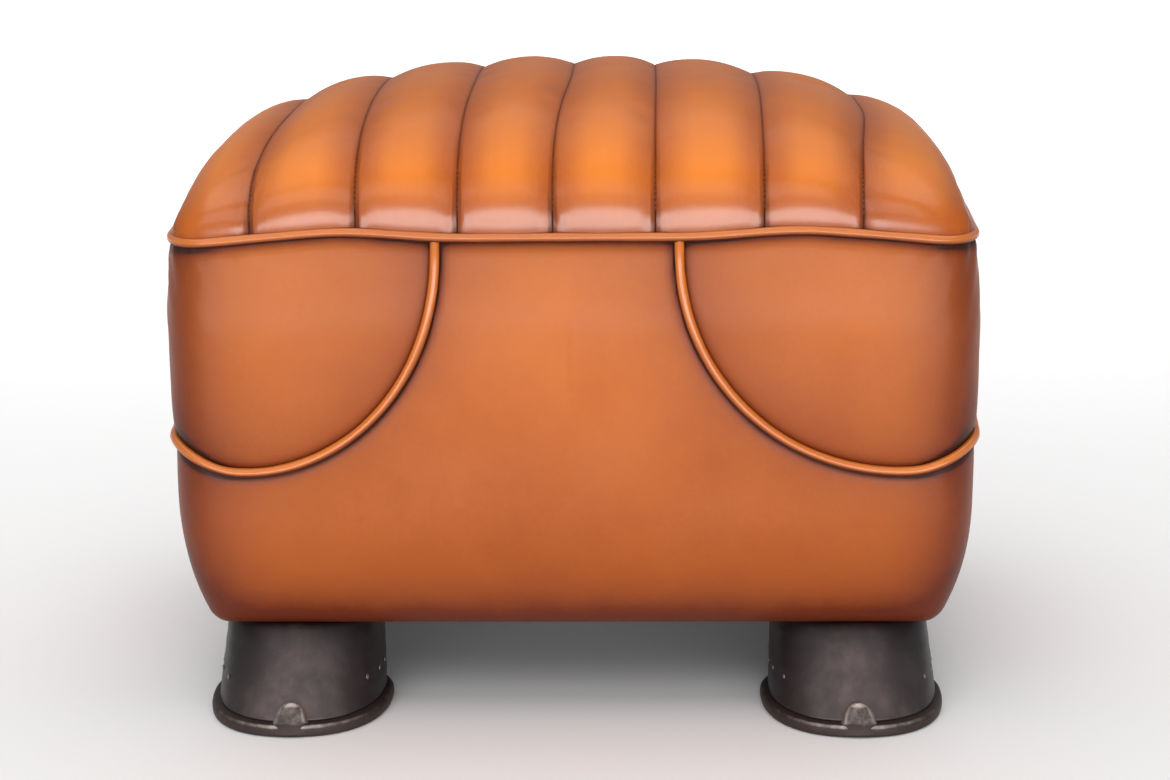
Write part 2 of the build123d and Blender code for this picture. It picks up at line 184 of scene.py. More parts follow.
class StageSettings(bpy.types.PropertyGroup):
    camera_place: bpy.props.FloatVectorProperty(
        name="Camera place", description="Where the camera stands", default=(0.0505, -1.8027, 0.6697), subtype="XYZ",
        unit="LENGTH")
    camera_down: angle("Camera down", 14.56, "How far the camera looks down")
    camera_left: angle("Camera left", 1.46, "How far the camera looks to the left")
    camera_roll: angle("Camera roll", -0.54, "How far the camera is turned about its own line")
    lens: number("Lens", 70.2, "Focal length on a 36 mm sensor", unit="CAMERA")
    key_power: number("Key", 14, "Power of the front light in watts")
    strip_power: number("Strip", 38, "Power of the low front strip in watts")
    top_power: number("Top", 38, "Power of the overhead light in watts")
    far_power: number("Far", 300, "Power of each light over the floor's far ends in watts")
    sky: number("Sky", 0.36, "Strength of the white surround")


settings_groups = {
    "stool_body": BodySettings,
    "stool_swag": SwagSettings,
    "stool_seat": SeatSettings,
    "stool_welt": WeltSettings,
    "stool_foot": FootSettings,
    "stool_finish": FinishSettings,
    "stool_stage": StageSettings,
}


def sizes(name):
    """One group of this footstool's settings."""
    return getattr(bpy.context.scene, "stool_" + name)


# ---- shader kit


class Value:
    """A shader socket that Python's operators add Math nodes to."""

    def __init__(self, finish, socket):
        self.finish = finish
        self.socket = socket

    def math(self, operation, *others):
        return self.finish.node("ShaderNodeMath", 0, {"operation": operation}, dict(enumerate((self, *others))))

    def __add__(self, other):
        return self.math("ADD", other)

    def __mul__(self, other):
        return self.math("MULTIPLY", other)

    def __sub__(self, other):
        return self.math("SUBTRACT", other)

    def __rsub__(self, other):
        return self.finish.node("ShaderNodeMath", 0, {"operation": "SUBTRACT"}, {0: other, 1: self})

    __radd__ = __add__
    __rmul__ = __mul__

    def between(self, low, high):
        """0 below low, 1 above high, and a smooth step between."""
        return self.finish.node("ShaderNodeMapRange", 0, {"interpolation_type": "SMOOTHSTEP"},
                                {"Value": self, "From Min": low, "From Max": high})

    def cap_at(self, high):
        return self.math("MINIMUM", high)


def add_node(tree, kind, settings=None, inputs=None):
    """Adds a node with its settings; each of its inputs is linked to a socket or set to a constant."""
    node = tree.nodes.new(kind)
    for key, value in (settings or {}).items():
        setattr(node, key, value)
    for key, value in (inputs or {}).items():
        feed(tree, node.inputs[key], value)
    return node


def feed(tree, socket, value):
    """Links a value or a socket to an input, or sets a constant there."""
    value = value.socket if isinstance(value, Value) else value
    if isinstance(value, bpy.types.NodeSocket):
        tree.links.new(value, socket)
    elif socket.type == "RGBA" and len(value) == 3:
        socket.default_value = (*value, 1)
    else:
        socket.default_value = value


class Finish:
    """A material under construction: a Principled shader and the nodes that feed it."""

    def __init__(self, name):
        self.material = bpy.data.materials.new(name)
        self.material.use_nodes = True
        self.tree = self.material.node_tree
        self.tree.nodes.clear()
        self.shader = add_node(self.tree, "ShaderNodeBsdfPrincipled")
        add_node(self.tree, "ShaderNodeOutputMaterial", inputs={0: self.shader.outputs[0]})
        self.coordinates = self.node("ShaderNodeTexCoord", "Object")

    def node(self, kind, output, settings=None, inputs=None):
        """One output of a new node, as a value."""
        return Value(self, add_node(self.tree, kind, settings, inputs).outputs[output])

    def noise(self, scale, detail=3, roughness=0.55, stretch=None):
        place = self.coordinates
        if stretch:
            place = self.node("ShaderNodeMapping", 0, None, {"Vector": place, "Scale": stretch})
        return self.node("ShaderNodeTexNoise", 0, None, {
            "Vector": place, "Scale": scale, "Detail": detail, "Roughness": roughness})

    def cells(self, scale, feature="DISTANCE_TO_EDGE"):
        return self.node("ShaderNodeTexVoronoi", 0, {"feature": feature}, {
            "Vector": self.coordinates, "Scale": scale})

    def mask(self, name):
        """A piece's own attribute as a value."""
        return self.node("ShaderNodeAttribute", "Fac", {"attribute_name": name})

    def mix(self, factor, low, high):
        """A colour between two."""
        return self.node("ShaderNodeMix", 2, {"data_type": "RGBA"}, {"Factor": factor, 6: low, 7: high})

    def bump(self, height, strength, distance, under=None):
        inputs = {"Height": height, "Strength": strength, "Distance": distance}
        if under is not None:
            inputs["Normal"] = under
        return self.node("ShaderNodeBump", "Normal", None, inputs)

    def surface(self, **inputs):
        for key, value in inputs.items():
            feed(self.tree, self.shader.inputs[key.replace("_", " ")], value)
        return self.material


def leather(name, depth=0.0, gloss=0.0):
    """Waxed saddle leather: mottled tan, burnished at the seams and rubbed paler where it swells, with painted
    highlights where light falls, painted shade at the foot, the corners and beside the piping, and near-black painted
    shadow in the creases under it.
    """
    tones = sizes("finish")
    finish = Finish(name)
    seam = finish.mask("seam")
    swell = finish.mask("swell")
    clouds = finish.noise(7, 4, 0.6)
    mottle = finish.noise(34, 5, 0.62)
    flecks = finish.noise(240, 3, 0.6)
    hide = (clouds * 0.60 + mottle * 0.25 + flecks * 0.15).between(0.22, 0.74)
    base = finish.mix(hide, tones.russet, tones.tan)
    # Paler where the swell mask says: rubbed leather, and painted light high on the body and in the channels' middles.
    base = finish.mix((swell * (0.6 + 0.5 * clouds)).cap_at(1.0) * (0.85 - depth), base, tones.honey)
    # Darkened by the seam mask: real burnishing at the seams, and painted shade under the piping, at the foot and
    # round the corners.
    burnish_and_shade_amount = (seam * (0.75 + 0.5 * mottle)).cap_at(1.0)
    base = finish.mix((burnish_and_shade_amount * 0.88 + depth * 0.5).cap_at(0.95), base, tones.burnish_and_shade)
    # Near black where the seam mask is deepest: painted shadow under and on the underside of the piping and along the
    # bottom edge, and the back seam's dark line.
    base = finish.mix(seam.between(0.86, 1.0) * 0.8, base, tones.crease)
    grain = finish.cells(760)
    pores = finish.cells(1500, "F1")
    creases = finish.noise(95, 5, 0.7, (1, 1, 0.35))
    puckers = finish.noise(62, 2, 0.5, (1.5, 1, 0.45)) * finish.mask("pucker")
    relief = grain.between(0.0, 0.16) * 0.5 + pores * 0.22 + creases * 0.5
    fine = finish.bump(relief, 0.10, 0.0006)
    soft = finish.bump(mottle, 0.10, 0.0016, fine)
    soft = finish.bump(puckers, 0.9, 0.0070, soft)
    rough = 0.33 - gloss + 0.08 * mottle + 0.10 * seam + 0.05 * flecks
    return finish.surface(Base_Color=base, Roughness=rough, Normal=soft, Specular_IOR_Level=0.22,
                          Coat_Weight=finish.mask("polish") * 0.85 + 0.07, Coat_Roughness=0.2)


def horn(name):
    """Near-black hoof horn, waxed, with faint growth rings and dusty streaks, paled down the front by a painted
    highlight and kept dark at the top by painted shadow under the body.
    """
    tones = sizes("finish")
    finish = Finish(name)
    toe = finish.mask("toe")
    streaks = finish.noise(60, 4, 0.6, (1, 1, 0.25))
    dust = finish.noise(22, 5, 0.65)
    flecks = finish.noise(300, 2, 0.5).between(0.72, 0.80)
    rings = finish.noise(50, 2, 0.5, (0.1, 0.1, 3.2))
    pale = (streaks * dust * 2.4 - 0.35).between(0.05, 0.8) * 0.45 + 0.3
    # The toe mask is painted light: the dusty streaks show mostly down the front, as a painted highlight, and fade at
    # the top, as painted shadow under the body.
    base = finish.mix(pale * (0.12 + 0.88 * toe), tones.horn, tones.horn_dust_and_highlight)
    base = finish.mix(flecks * 0.15, base, (0.2, 0.17, 0.16))
    relief = rings * 0.2 + streaks * 0.3 + dust * 0.5
    normal = finish.bump(relief, 0.16, 0.0010)
    return finish.surface(Base_Color=base, Roughness=0.32 + 0.24 * dust, Normal=normal, Specular_IOR_Level=0.5)


def iron(name):
    """Forged iron with a dark brown skin, worn bright on its edges and its clip, and a painted highlight along the
    shoe's top outer edge, strongest at the toe.
    """
    tones = sizes("finish")
    finish = Finish(name)
    # This mask is real worn edges and a painted highlight along the shoe's top outer edge.
    wear_and_highlight = finish.mask("wear_and_highlight")
    scale = finish.noise(120, 5, 0.65)
    pits = finish.noise(520, 3, 0.6)
    bright = (wear_and_highlight * (0.45 + 1.1 * scale)).between(0.35, 0.95)
    base = finish.mix(scale.between(0.35, 0.7), tones.iron, (0.055, 0.035, 0.03))
    base = finish.mix(bright, base, tones.worn)
    relief = scale * 0.6 + pits * 0.5
    normal = finish.bump(relief, 0.35, 0.0009)
    return finish.surface(Base_Color=base, Metallic=0.55 + 0.4 * bright, Roughness=0.52 - 0.16 * bright + 0.12 * pits,
                          Normal=normal)


def steel(name, shade, rough):
    """Plain bright steel with a drawn grain."""
    finish = Finish(name)
    drawn = finish.noise(300, 3, 0.6, (1, 1, 0.1))
    base = finish.mix(drawn, shade, [v * 0.6 for v in shade])
    return finish.surface(Base_Color=base, Metallic=0.9, Roughness=rough + 0.15 * drawn,
                          Normal=finish.bump(drawn, 0.1, 0.0004))


def timber(name, pale, dark, stretch):
    """Sawn wood with its grain along one way."""
    finish = Finish(name)
    rings = finish.noise(30, 5, 0.6, stretch)
    fibres = finish.noise(260, 3, 0.6, stretch)
    base = finish.mix(rings.between(0.35, 0.65), dark, pale)
    base = finish.mix(fibres.between(0.5, 0.8) * 0.4, base, dark)
    return finish.surface(Base_Color=base, Roughness=0.62 + 0.15 * fibres, Normal=finish.bump(fibres, 0.2, 0.0006))


def woven(name, dark, pale, pitch):
    """Plain-woven cloth on its own coordinates."""
    finish = Finish(name)
    warp, weft = ((finish.node("ShaderNodeSeparateXYZ", axis, None, {0: finish.coordinates})
                   * (2 * math.pi / pitch)).math("SINE") for axis in "XY")
    weave = warp * weft * 0.5 + 0.5
    lint = finish.noise(180, 4, 0.6)
    base = finish.mix((weave * 0.7 + lint * 0.4).cap_at(1.0), dark, pale)
    return finish.surface(Base_Color=base, Roughness=0.85, Normal=finish.bump(weave, 0.3, 0.0005))


def thread(name):
    """Waxed brown thread, twisted."""
    finish = Finish(name)
    twist = finish.noise(900, 2, 0.5)
    base = finish.mix(twist, sizes("finish").burnish_and_shade, (0.30, 0.13, 0.06))
    return finish.surface(Base_Color=base, Roughness=0.45 + 0.1 * twist, Normal=finish.bump(twist, 0.3, 0.0003))


# ---- mesh kit


def add_object(name, data):
    """A new object for a mesh, a lamp or a camera."""
    made = bpy.data.objects.new(name, data)
    bpy.context.scene.collection.objects.link(made)
    return made


def set_attribute(mesh, key, values, kind="FLOAT", field="value"):
    """Gives a mesh's points an attribute of their own."""
    mesh.attributes.new(key, kind, "POINT").data.foreach_set(field, np.asarray(values, np.float32).ravel())


def new_piece(name, points, faces, masks=None):
    """A smooth mesh piece from points and faces, with float masks on its points."""
    mesh = bpy.data.meshes.new(name)
    mesh.from_pydata(np.asarray(points, float).reshape(-1, 3).tolist(), [], faces)
    for key, values in (masks or {}).items():
        set_attribute(mesh, key, values)
    mesh.validate()
    mesh.shade_smooth()
    return add_object(name, mesh)


def grid_faces(rows, columns, closed=False, start=0, flip=False):
    """Quads of a grid of points stored row by row, closed along its columns if asked."""
    faces = []
    for row in range(rows - 1):
        for column in range(columns if closed else columns - 1):
            following = (column + 1) % columns
            a, b = start + row * columns + column, start + row * columns + following
            c, d = b + columns, a + columns
            faces.append((a, d, c, b) if flip else (a, b, c, d))
    return faces


def bar_faces(rings, around, start=0):
    """Faces of a closed bar: quads from ring to ring and a face at each end."""
    last = start + (rings - 1) * around
    ends = [tuple(range(start, start + around))[::-1], tuple(range(last, last + around))]
    return grid_faces(rings, around, closed=True, start=start) + ends


def grid_border(rows, columns):
    """Rows and columns of a grid's outer points, in order round it."""
    border = [(0, c) for c in range(columns)] + [(r, columns - 1) for r in range(1, rows)]
    return border + [(rows - 1, c) for c in range(columns - 2, -1, -1)] + [(r, 0) for r in range(rows - 2, 0, -1)]


def finish_piece(piece, material, slot, *nodes):
    """Gives a piece its material and its body, and hides the nodes that it stands for; its slot is not used."""
    piece.data.materials.clear()
    piece.data.materials.append(material)
    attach(piece, "root")
    if nodes:
        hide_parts(*nodes)


def bake_modifiers(piece):
    """Makes what a piece's modifiers give its plain mesh."""
    graph = bpy.context.evaluated_depsgraph_get()
    made = bpy.data.meshes.new_from_object(piece.evaluated_get(graph), depsgraph=graph)
    old = piece.data
    piece.modifiers.clear()
    piece.data = made
    bpy.data.meshes.remove(old)
    made.name = piece.name
    made.shade_smooth()


def thicken(piece, thickness):
    """Gives a sheet its thickness, inward."""
    solid = piece.modifiers.new("thickness", "SOLIDIFY")
    solid.thickness = thickness
    solid.offset = -1
    bake_modifiers(piece)


def smoother(piece):
    """Points a closed mesh's faces outwards and divides them once, smoothly."""
    outward(piece)
    step = piece.modifiers.new("smoother", "SUBSURF")
    step.levels = step.render_levels = 1
    bake_modifiers(piece)


def read_points(mesh, field="co"):
    """A mesh's places, or its normals, point by point."""
    values = np.empty(len(mesh.vertices) * 3, np.float32)
    mesh.vertices.foreach_get(field, values)
    return values.reshape(-1, 3).astype(float)


def walked_along(points):
    """Distance walked from the first point to each point of a polyline."""
    return np.concatenate([[0], np.cumsum(np.linalg.norm(np.diff(points, axis=0), axis=1))])


def unit(vectors):
    """Vectors of the same directions and length 1."""
    return vectors / np.linalg.norm(vectors, axis=1)[:, None]


def hump(distance, width):
    """A bell curve: 1 at no distance, about a third at the width."""
    return np.exp(-((distance / width) ** 2))


def fade(distance, reach):
    """1 at no distance, about a third at the reach, and less beyond."""
    return np.exp(-distance / reach)


def evened(rows, times):
    """Smooths an array along its rows in place, and leaves its two ends."""
    for _ in range(times):
        rows[1:-1] = (rows[:-2] + 2 * rows[1:-1] + rows[2:]) / 4


def smoothstep(values, low, high):
    """0 up to low, 1 from high on, and a smooth step between."""
    t = np.clip((np.asarray(values, float) - low) / (high - low), 0, 1)
    return t * t * (3 - 2 * t)


def wander(first, second, scale, seed):
    """A smooth, repeatable unevenness of about -1 to 1 over two coordinates."""
    draw = np.random.default_rng(seed)
    total = np.zeros(np.broadcast(first, second).shape)
    for _ in range(7):
        turn, phase, stretch = draw.uniform(0, 2 * math.pi), draw.uniform(0, 2 * math.pi), draw.uniform(0.6, 1.6)
        along = np.cos(turn) * first + np.sin(turn) * second
        total += np.sin(along * stretch / scale * 2 * math.pi + phase)
    return total / 4


# The soft leather of the stuffing's cloth simulation
stuffing_cloth = {"quality": 6, "mass": 0.3, "tension_stiffness": 18, "compression_stiffness": 18,
                  "shear_stiffness": 8, "bending_stiffness": 3, "vertex_group_mass": "held", "use_pressure": True}
stuffing_frames = 20


def stuffed(piece, held, pressure, slack, cap):
    """A sheet's points when cloth under pressure swells it between its held points, none moved past the cap."""
    rest = read_points(piece.data)
    group = piece.vertex_groups.new(name="held")
    group.add(held.tolist(), 1.0, "REPLACE")
    cloth = piece.modifiers.new("stuffing", "CLOTH")
    for key, value in stuffing_cloth.items():
        setattr(cloth.settings, key, value)
    cloth.settings.uniform_pressure_force = pressure
    cloth.settings.shrink_min = -slack
    cloth.settings.effector_weights.gravity = 0
    cloth.collision_settings.use_collision = False
    cloth.point_cache.frame_start = 1
    cloth.point_cache.frame_end = stuffing_frames
    scene = bpy.context.scene
    for step in range(1, stuffing_frames + 1):
        scene.frame_set(step)
    move = read_points(piece.evaluated_get(bpy.context.evaluated_depsgraph_get()).to_mesh()) - rest
    scene.frame_set(1)
    return rest + move * np.minimum(1, cap / np.maximum(np.linalg.norm(move, axis=1), 1e-9))[:, None]


def tube(name, path, closed=False, seed=1):
    """A round piping swept along points, with its thickness wandering a little."""
    radius, wobble, sides = sizes("welt").girth, sizes("welt").unevenness, 14
    count = len(path)
    if closed:
        ahead, behind = np.roll(path, -1, 0), np.roll(path, 1, 0)
    else:
        ahead, behind = np.vstack([path[1:], path[-1:]]), np.vstack([path[:1], path[:-1]])
    along = unit(ahead - behind)
    side = np.empty_like(path)
    last = np.cross(along[0], (0.1, 0.2, 1.0))
    for i in range(count):
        last = last - along[i] * (last @ along[i])
        last /= np.linalg.norm(last)
        side[i] = last
    if closed:
        closing = side[0] - along[-1] * (side[0] @ along[-1])
        closing /= np.linalg.norm(closing)
        twist = math.atan2(np.cross(side[-1], closing) @ along[-1], side[-1] @ closing)
        turns = np.linspace(0, twist, count)
        other = np.cross(along, side)
        side = side * np.cos(turns)[:, None] + other * np.sin(turns)[:, None]
    up = np.cross(along, side)
    walked = walked_along(path)
    around = np.linspace(0, 2 * math.pi, sides, endpoint=False)
    girth = radius + wobble * wander(walked, walked * 0, 0.05, seed)
    ring = side[:, None] * np.cos(around)[None, :, None] + up[:, None] * np.sin(around)[None, :, None]
    points = path[:, None] + ring * girth[:, None, None]
    faces = grid_faces(count, sides, closed=True)
    if closed:
        faces += [((count - 1) * sides + k, (count - 1) * sides + (k + 1) % sides, (k + 1) % sides, k)
                  for k in range(sides)]
    points = points.reshape(-1, 3)
    if not closed:
        points = np.vstack([points, path[0] - along[0] * radius * 0.3, path[-1] + along[-1] * radius * 0.3])
        first, final = count * sides, count * sides + 1
        faces += [(first, (k + 1) % sides, k) for k in range(sides)]
        faces += [(final, (count - 1) * sides + k, (count - 1) * sides + (k + 1) % sides) for k in range(sides)]
    piece = new_piece(name, points, faces)
    outward(piece)
    return piece


def outward(piece):
    """Makes a closed mesh's faces point outwards."""
    work = bmesh.new()
    work.from_mesh(piece.data)
    bmesh.ops.recalc_face_normals(work, faces=work.faces)
    work.to_mesh(piece.data)
    work.free()
    piece.data.shade_smooth()


def resample(points, step):
    """Points an even step apart along a polyline."""
    walked = walked_along(points)
    count = max(4, int(round(walked[-1] / step)) + 1)
    where = np.linspace(0, walked[-1], count)
    return np.stack([np.interp(where, walked, points[:, k]) for k in range(3)], 1)


# ---- body form


class Plan:
    """The rounded rectangle the body's walls stand on, walked from the middle of the front to the right."""

    def __init__(self, half_x, half_y, radius):
        self.half_x, self.half_y, self.radius = half_x, half_y, radius
        self.front = half_x - radius
        self.arc = radius * math.pi / 2
        self.quarter = self.front + self.arc + half_y - radius

    def fold(self, walk):
        """Distance from the nearest middle of the front or back, and the signs of x and of front."""
        walk = np.mod(walk, 4 * self.quarter)
        part = np.floor(walk / self.quarter).astype(int)
        near = np.where(part % 2 == 0, walk - part * self.quarter, (part + 1) * self.quarter - walk)
        return near, np.where(part < 2, 1, -1), np.where((part == 0) | (part == 3), 1, -1)

    def quadrant(self, near):
        """Place and outward direction in the front right quadrant."""
        turn = np.clip((near - self.front) / self.radius, 0, math.pi / 2)
        run = np.clip(near, 0, self.front)
        rise = np.clip(near - self.front - self.arc, 0, None)
        x = run + self.radius * np.sin(turn)
        y = -self.half_y + self.radius * (1 - np.cos(turn)) + rise
        return x, y, np.sin(turn), -np.cos(turn)

    def at(self, walk):
        """Place and outward direction at a distance walked round the plan."""
        near, right, front = self.fold(walk)
        x, y, out_x, out_y = self.quadrant(near)
        return x * right, y * front, out_x * right, out_y * front


def body_plan():
    return Plan(half_width, half_depth, sizes("body").corner_radius)


def from_corner(near):
    """Distance, along the plan, from the middle of the body's rounded corner."""
    return near - body_plan().front - body_plan().arc / 2


def wall_bow(near):
    """How far a side swells at a place, and how much that place belongs to the front or the back."""
    body, plan = sizes("body"), body_plan()
    x, y, _, _ = plan.quadrant(near)
    on_front = smoothstep(plan.front + plan.arc * 0.5 - near, -0.02, 0.02)
    bow = on_front * body.front_bow * (1 - (x / half_width) ** 2)
    return bow + (1 - on_front) * body.side_bow * (1 - (y / half_depth) ** 2), on_front


# Share of the walls' swell that the seat and its piping follow
seat_bow_share = 0.7
# How far the leathers' edges reach below the middle of the seat's piping
edge_tuck = 0.0015
# Up to this height the band's rows are level; above it they rise to the patches' seams
band_height = 0.15
# Rise and fall of the seat's seam along a quarter of the body, as hand-sewn: distance from the middle, height
seam_wave = ((0, -0.001), (0.09, -0.0013), (0.165, 0.004), (0.235, -0.002), (0.275, -0.0058), (0.32, -0.005),
             (0.40, 0.001), (0.49, 0.0))


def wave_at(near):
    """The seat seam's height above its level line."""
    places, heights = np.array(seam_wave).T
    fine = np.linspace(0, places[-1], 120)
    level = np.interp(fine, places, heights)
    for _ in range(24):
        level = np.convolve(np.pad(level, 1, mode="edge"), (0.25, 0.5, 0.25), "valid")
    return np.interp(near, fine, level)


def wall_inset(height):
    """How far the wall stands in from the plan at a height."""
    body = sizes("body")
    low = np.clip((body.draw_top - height) / (body.draw_top - underside), 0, 1)
    edge = np.clip(body.edge_radius - (height - underside), 0, body.edge_radius)
    rounding = body.edge_radius - np.sqrt(np.maximum(body.edge_radius**2 - edge**2, 0))
    shoulder = smoothstep(height, body.shoulder_bottom, seat_line) * body.shoulder
    return body.draw_in * low**body.draw_power + rounding + shoulder


def swag_start(right):
    """Distance of a patch's front seam from the middle, on the right or the left."""
    swag = sizes("swag")
    return np.where(np.asarray(right) > 0, swag.right_start, swag.left_start)


def swag_end():
    """Distance from the middle, along the plan, where the patch's side seam stands."""
    swag, plan = sizes("swag"), body_plan()
    side_run = half_depth - plan.radius - swag.side_centre + swag.side_radius
    return plan.front + plan.arc + side_run


def swag_level(near, right):
    """Height of a patch's lower seam at a distance from the middle."""
    swag, plan = sizes("swag"), body_plan()
    near = np.asarray(near, float)
    start = swag_start(right)
    reach = swag.low_place - start
    front = swag.turn_height - swag.drop * np.sqrt(np.clip(1 - ((near - swag.low_place) / reach) ** 2, 0, 1))
    side_walk = near - plan.front - plan.arc + plan.radius - half_depth + swag.side_centre
    side = swag.side_height - np.sqrt(np.clip(swag.side_radius**2 - side_walk**2, 0, None))
    blend = smoothstep(near, plan.front - 0.01, plan.front + plan.arc + 0.015)
    return front * (1 - blend) + side * blend


def swag_path(right):
    """A patch's whole seam as distance from the middle and height, from its front top to its side top."""
    start, end = float(swag_start(right)), swag_end()
    swag = sizes("swag")
    angles = np.linspace(0, math.pi / 2, 60)
    first = start + (swag.low_place - start) * (1 - np.cos(angles))
    second = np.linspace(swag.low_place, body_plan().front + body_plan().arc, 40)[1:]
    third = second[-1] + (end - second[-1]) * np.sin(np.linspace(0, math.pi / 2, 50))[1:]
    near = np.concatenate([first, second, third])
    level = swag_level(near, right)
    level[0] = swag.turn_height
    level[-1] = swag.side_height
    near = np.concatenate([[start], near, [end] * 12])
    top = seat_line - 0.002
    level = np.concatenate([[top], level, np.linspace(swag.side_height, top, 13)[1:]])
    return near, level


def path_distance(near, level, right):
    """Distance on the wall from a patch's seam."""
    path_near, path_level = swag_path(right)
    shape = np.broadcast(near, level).shape
    flat_near = np.broadcast_to(near, shape).ravel()
    flat_level = np.broadcast_to(level, shape).ravel()
    ax, az = path_near[:-1], path_level[:-1]
    bx, bz = np.diff(path_near), np.diff(path_level)
    span = np.maximum(bx**2 + bz**2, 1e-12)
    best = np.full(flat_near.shape, np.inf)
    for i in range(len(ax)):
        t = np.clip(((flat_near - ax[i]) * bx[i] + (flat_level - az[i]) * bz[i]) / span[i], 0, 1)
        gap = np.hypot(flat_near - ax[i] - t * bx[i], flat_level - az[i] - t * bz[i])
        best = np.minimum(best, gap)
    return best.reshape(shape)


def wall_relief(walk, height, patch):
    """How far the leather swells or sinks from the plain wall: it bows, dips at its seams and folds at the corners."""
    body = sizes("body")
    near, right, front = body_plan().fold(walk)
    rise = np.sin(math.pi * np.clip((height - underside) / (seat_line - underside), 0, 1)) ** 0.7
    bow, on_front = wall_bow(near)
    total = bow * (0.35 + 0.65 * rise) - (1 - on_front) * body.side_stand_in
    total += 0.0006 * wander(walk, height, 0.13, 4) * rise
    for sign in (1, -1):
        gap = path_distance(near, height, sign)
        dent = -0.0022 * hump(gap, 0.0055) - 0.0008 * fade(gap, 0.02)
        swell = body.patch_swell * (1 - fade(gap, 0.013)) if patch else 0
        total += np.where(right == sign, dent + swell, 0)
    below_seat = np.maximum(seat_line + wave_at(near) - height, 0)
    total -= 0.003 * hump(below_seat, 0.006)
    total -= np.where((front < 0) & (not patch), 0.0011 * hump(near, 0.0022), 0)
    if patch:
        fold = smoothstep(near, 0.20, 0.27) * (1 - smoothstep(near, 0.36, 0.42)) * fade(below_seat, 0.035)
        total += 0.0011 * fold * np.sin((near * 1.4 + below_seat * 0.9) * math.pi / 0.017 + right * 1.3)
    return total


def wall_point(walk, height, out=0.0, patch=False, turn_under=0.0):
    """A point of the body's leather, moved out along the wall's own direction."""
    plan = body_plan()
    x, y, out_x, out_y = plan.at(walk)
    move = wall_relief(walk, height, patch) * (turn_under == 0) - wall_inset(height) - turn_under + out
    near, _, _ = plan.fold(walk)
    pleats = hump(from_corner(near), 0.03) * np.sin(near / 0.0035) ** 2
    height = height - 0.0016 * pleats * min(1, turn_under / 0.02)
    return np.stack(np.broadcast_arrays(x + out_x * move, y + out_y * move, height), -1)


def wall_masks(walk, height, patch):
    """How much a point of the body is darkened, by burnishing at its seams and by painted shade, and how much it is
    paled, by rubbing and by painted light.
    """
    near, right, front = body_plan().fold(walk)
    gap = np.where(right > 0, path_distance(near, height, 1), path_distance(near, height, -1))
    below_seat = np.maximum(seat_line + wave_at(near) - height, 0)
    # Dark bands beside the patches' piping: the seam line, painted shadow under the piping, strong on the cover below
    # and weak on the patch above, and wider painted shade round it.
    crease, spread, depth = (0.50, 0.034, 0.40) if patch else (1.30, 0.022, 0.26)
    seam = crease * hump(gap, 0.0062) + depth * fade(gap, spread)
    # Painted shadow in a band just under the seat's piping.
    seam = seam + 1.20 * hump(below_seat, 0.006) + 0.22 * fade(below_seat, 0.016)
    seam = seam + np.where((front < 0) & (not patch), 0.9 * hump(near, 0.002), 0)
    low = np.maximum(height - underside, 0)
    # Painted shade: darker towards the bottom edge and round the rounded corners.
    shade = 1.25 * fade(low, 0.017) + 0.42 * fade(low, 0.08)
    corner = hump(from_corner(near), 0.038)
    seam = seam + np.minimum(shade + 0.60 * corner, 0.90)
    # Paler higher up the wall, by rubbing and by painted light from above, and less pale near the piping and at the
    # corners, where painted shade falls.
    swell = smoothstep(height, 0.11, 0.33) * (1 - fade(gap, 0.04)) * (0.55 if patch else 0.75)
    return np.clip(seam, 0, 1), np.clip(swell * (1 - corner), 0, 1)


def height_rows(top):
    """Heights and turn-under distances of the body's rows, from under the base to a top that varies by column."""
    body = sizes("body")
    under = [(underside, body.turn_under * k / 5) for k in (5, 4, 3, 2, 1)]
    rounding = [(underside + body.edge_radius * (1 - math.cos(a)), 0.0) for a in np.linspace(0.05, math.pi / 2, 8)]
    lower = [(h, 0.0) for h in np.linspace(underside + body.edge_radius, band_height, 16)[1:]]
    rows = [(np.full(len(top), h), t) for h, t in under + rounding + lower]
    for t in (1 - (1 - np.linspace(0, 1, 40)[1:]) ** 1.35):
        rows.append((band_height + (top - band_height) * t, 0.0))
    return rows


def wall_sheet(name, walk, rows, closed, patch):
    """A sheet of the body's leather over columns and rows."""
    points, seams, swells = [], [], []
    for height, under in rows:
        points.append(wall_point(walk, height, patch=patch, turn_under=under))
        seam, swell = wall_masks(walk, height, patch)
        seams.append(seam)
        swells.append(swell)
    faces = grid_faces(len(rows), len(walk), closed)
    return new_piece(name, np.array(points), faces, {"seam": np.array(seams), "swell": np.array(swells)})


def edge_columns(start, end, fine, coarse):
    """Columns between two places, close together near both."""
    half = (end - start) / 2
    steps = [0.0]
    step = fine
    while steps[-1] + step < half:
        steps.append(steps[-1] + step)
        step = min(coarse, step * 1.25)
    inner = np.array(steps) / (steps[-1] + step / 2) * half
    return np.concatenate([start + inner, (end - inner)[::-1]])


def patch_columns(right):
    """Columns of a patch's leather, and of the band below it."""
    return edge_columns(float(swag_start(right)), swag_end(), 0.0012, 0.0055)


def quarter_walk(near, corner):
    """Distances from the middle of the front or back as distances walked round the plan."""
    plan = body_plan()
    right, front = corner_signs[corner]
    base = 0.0 if front > 0 else 2 * plan.quarter
    return base + near * (right * front)


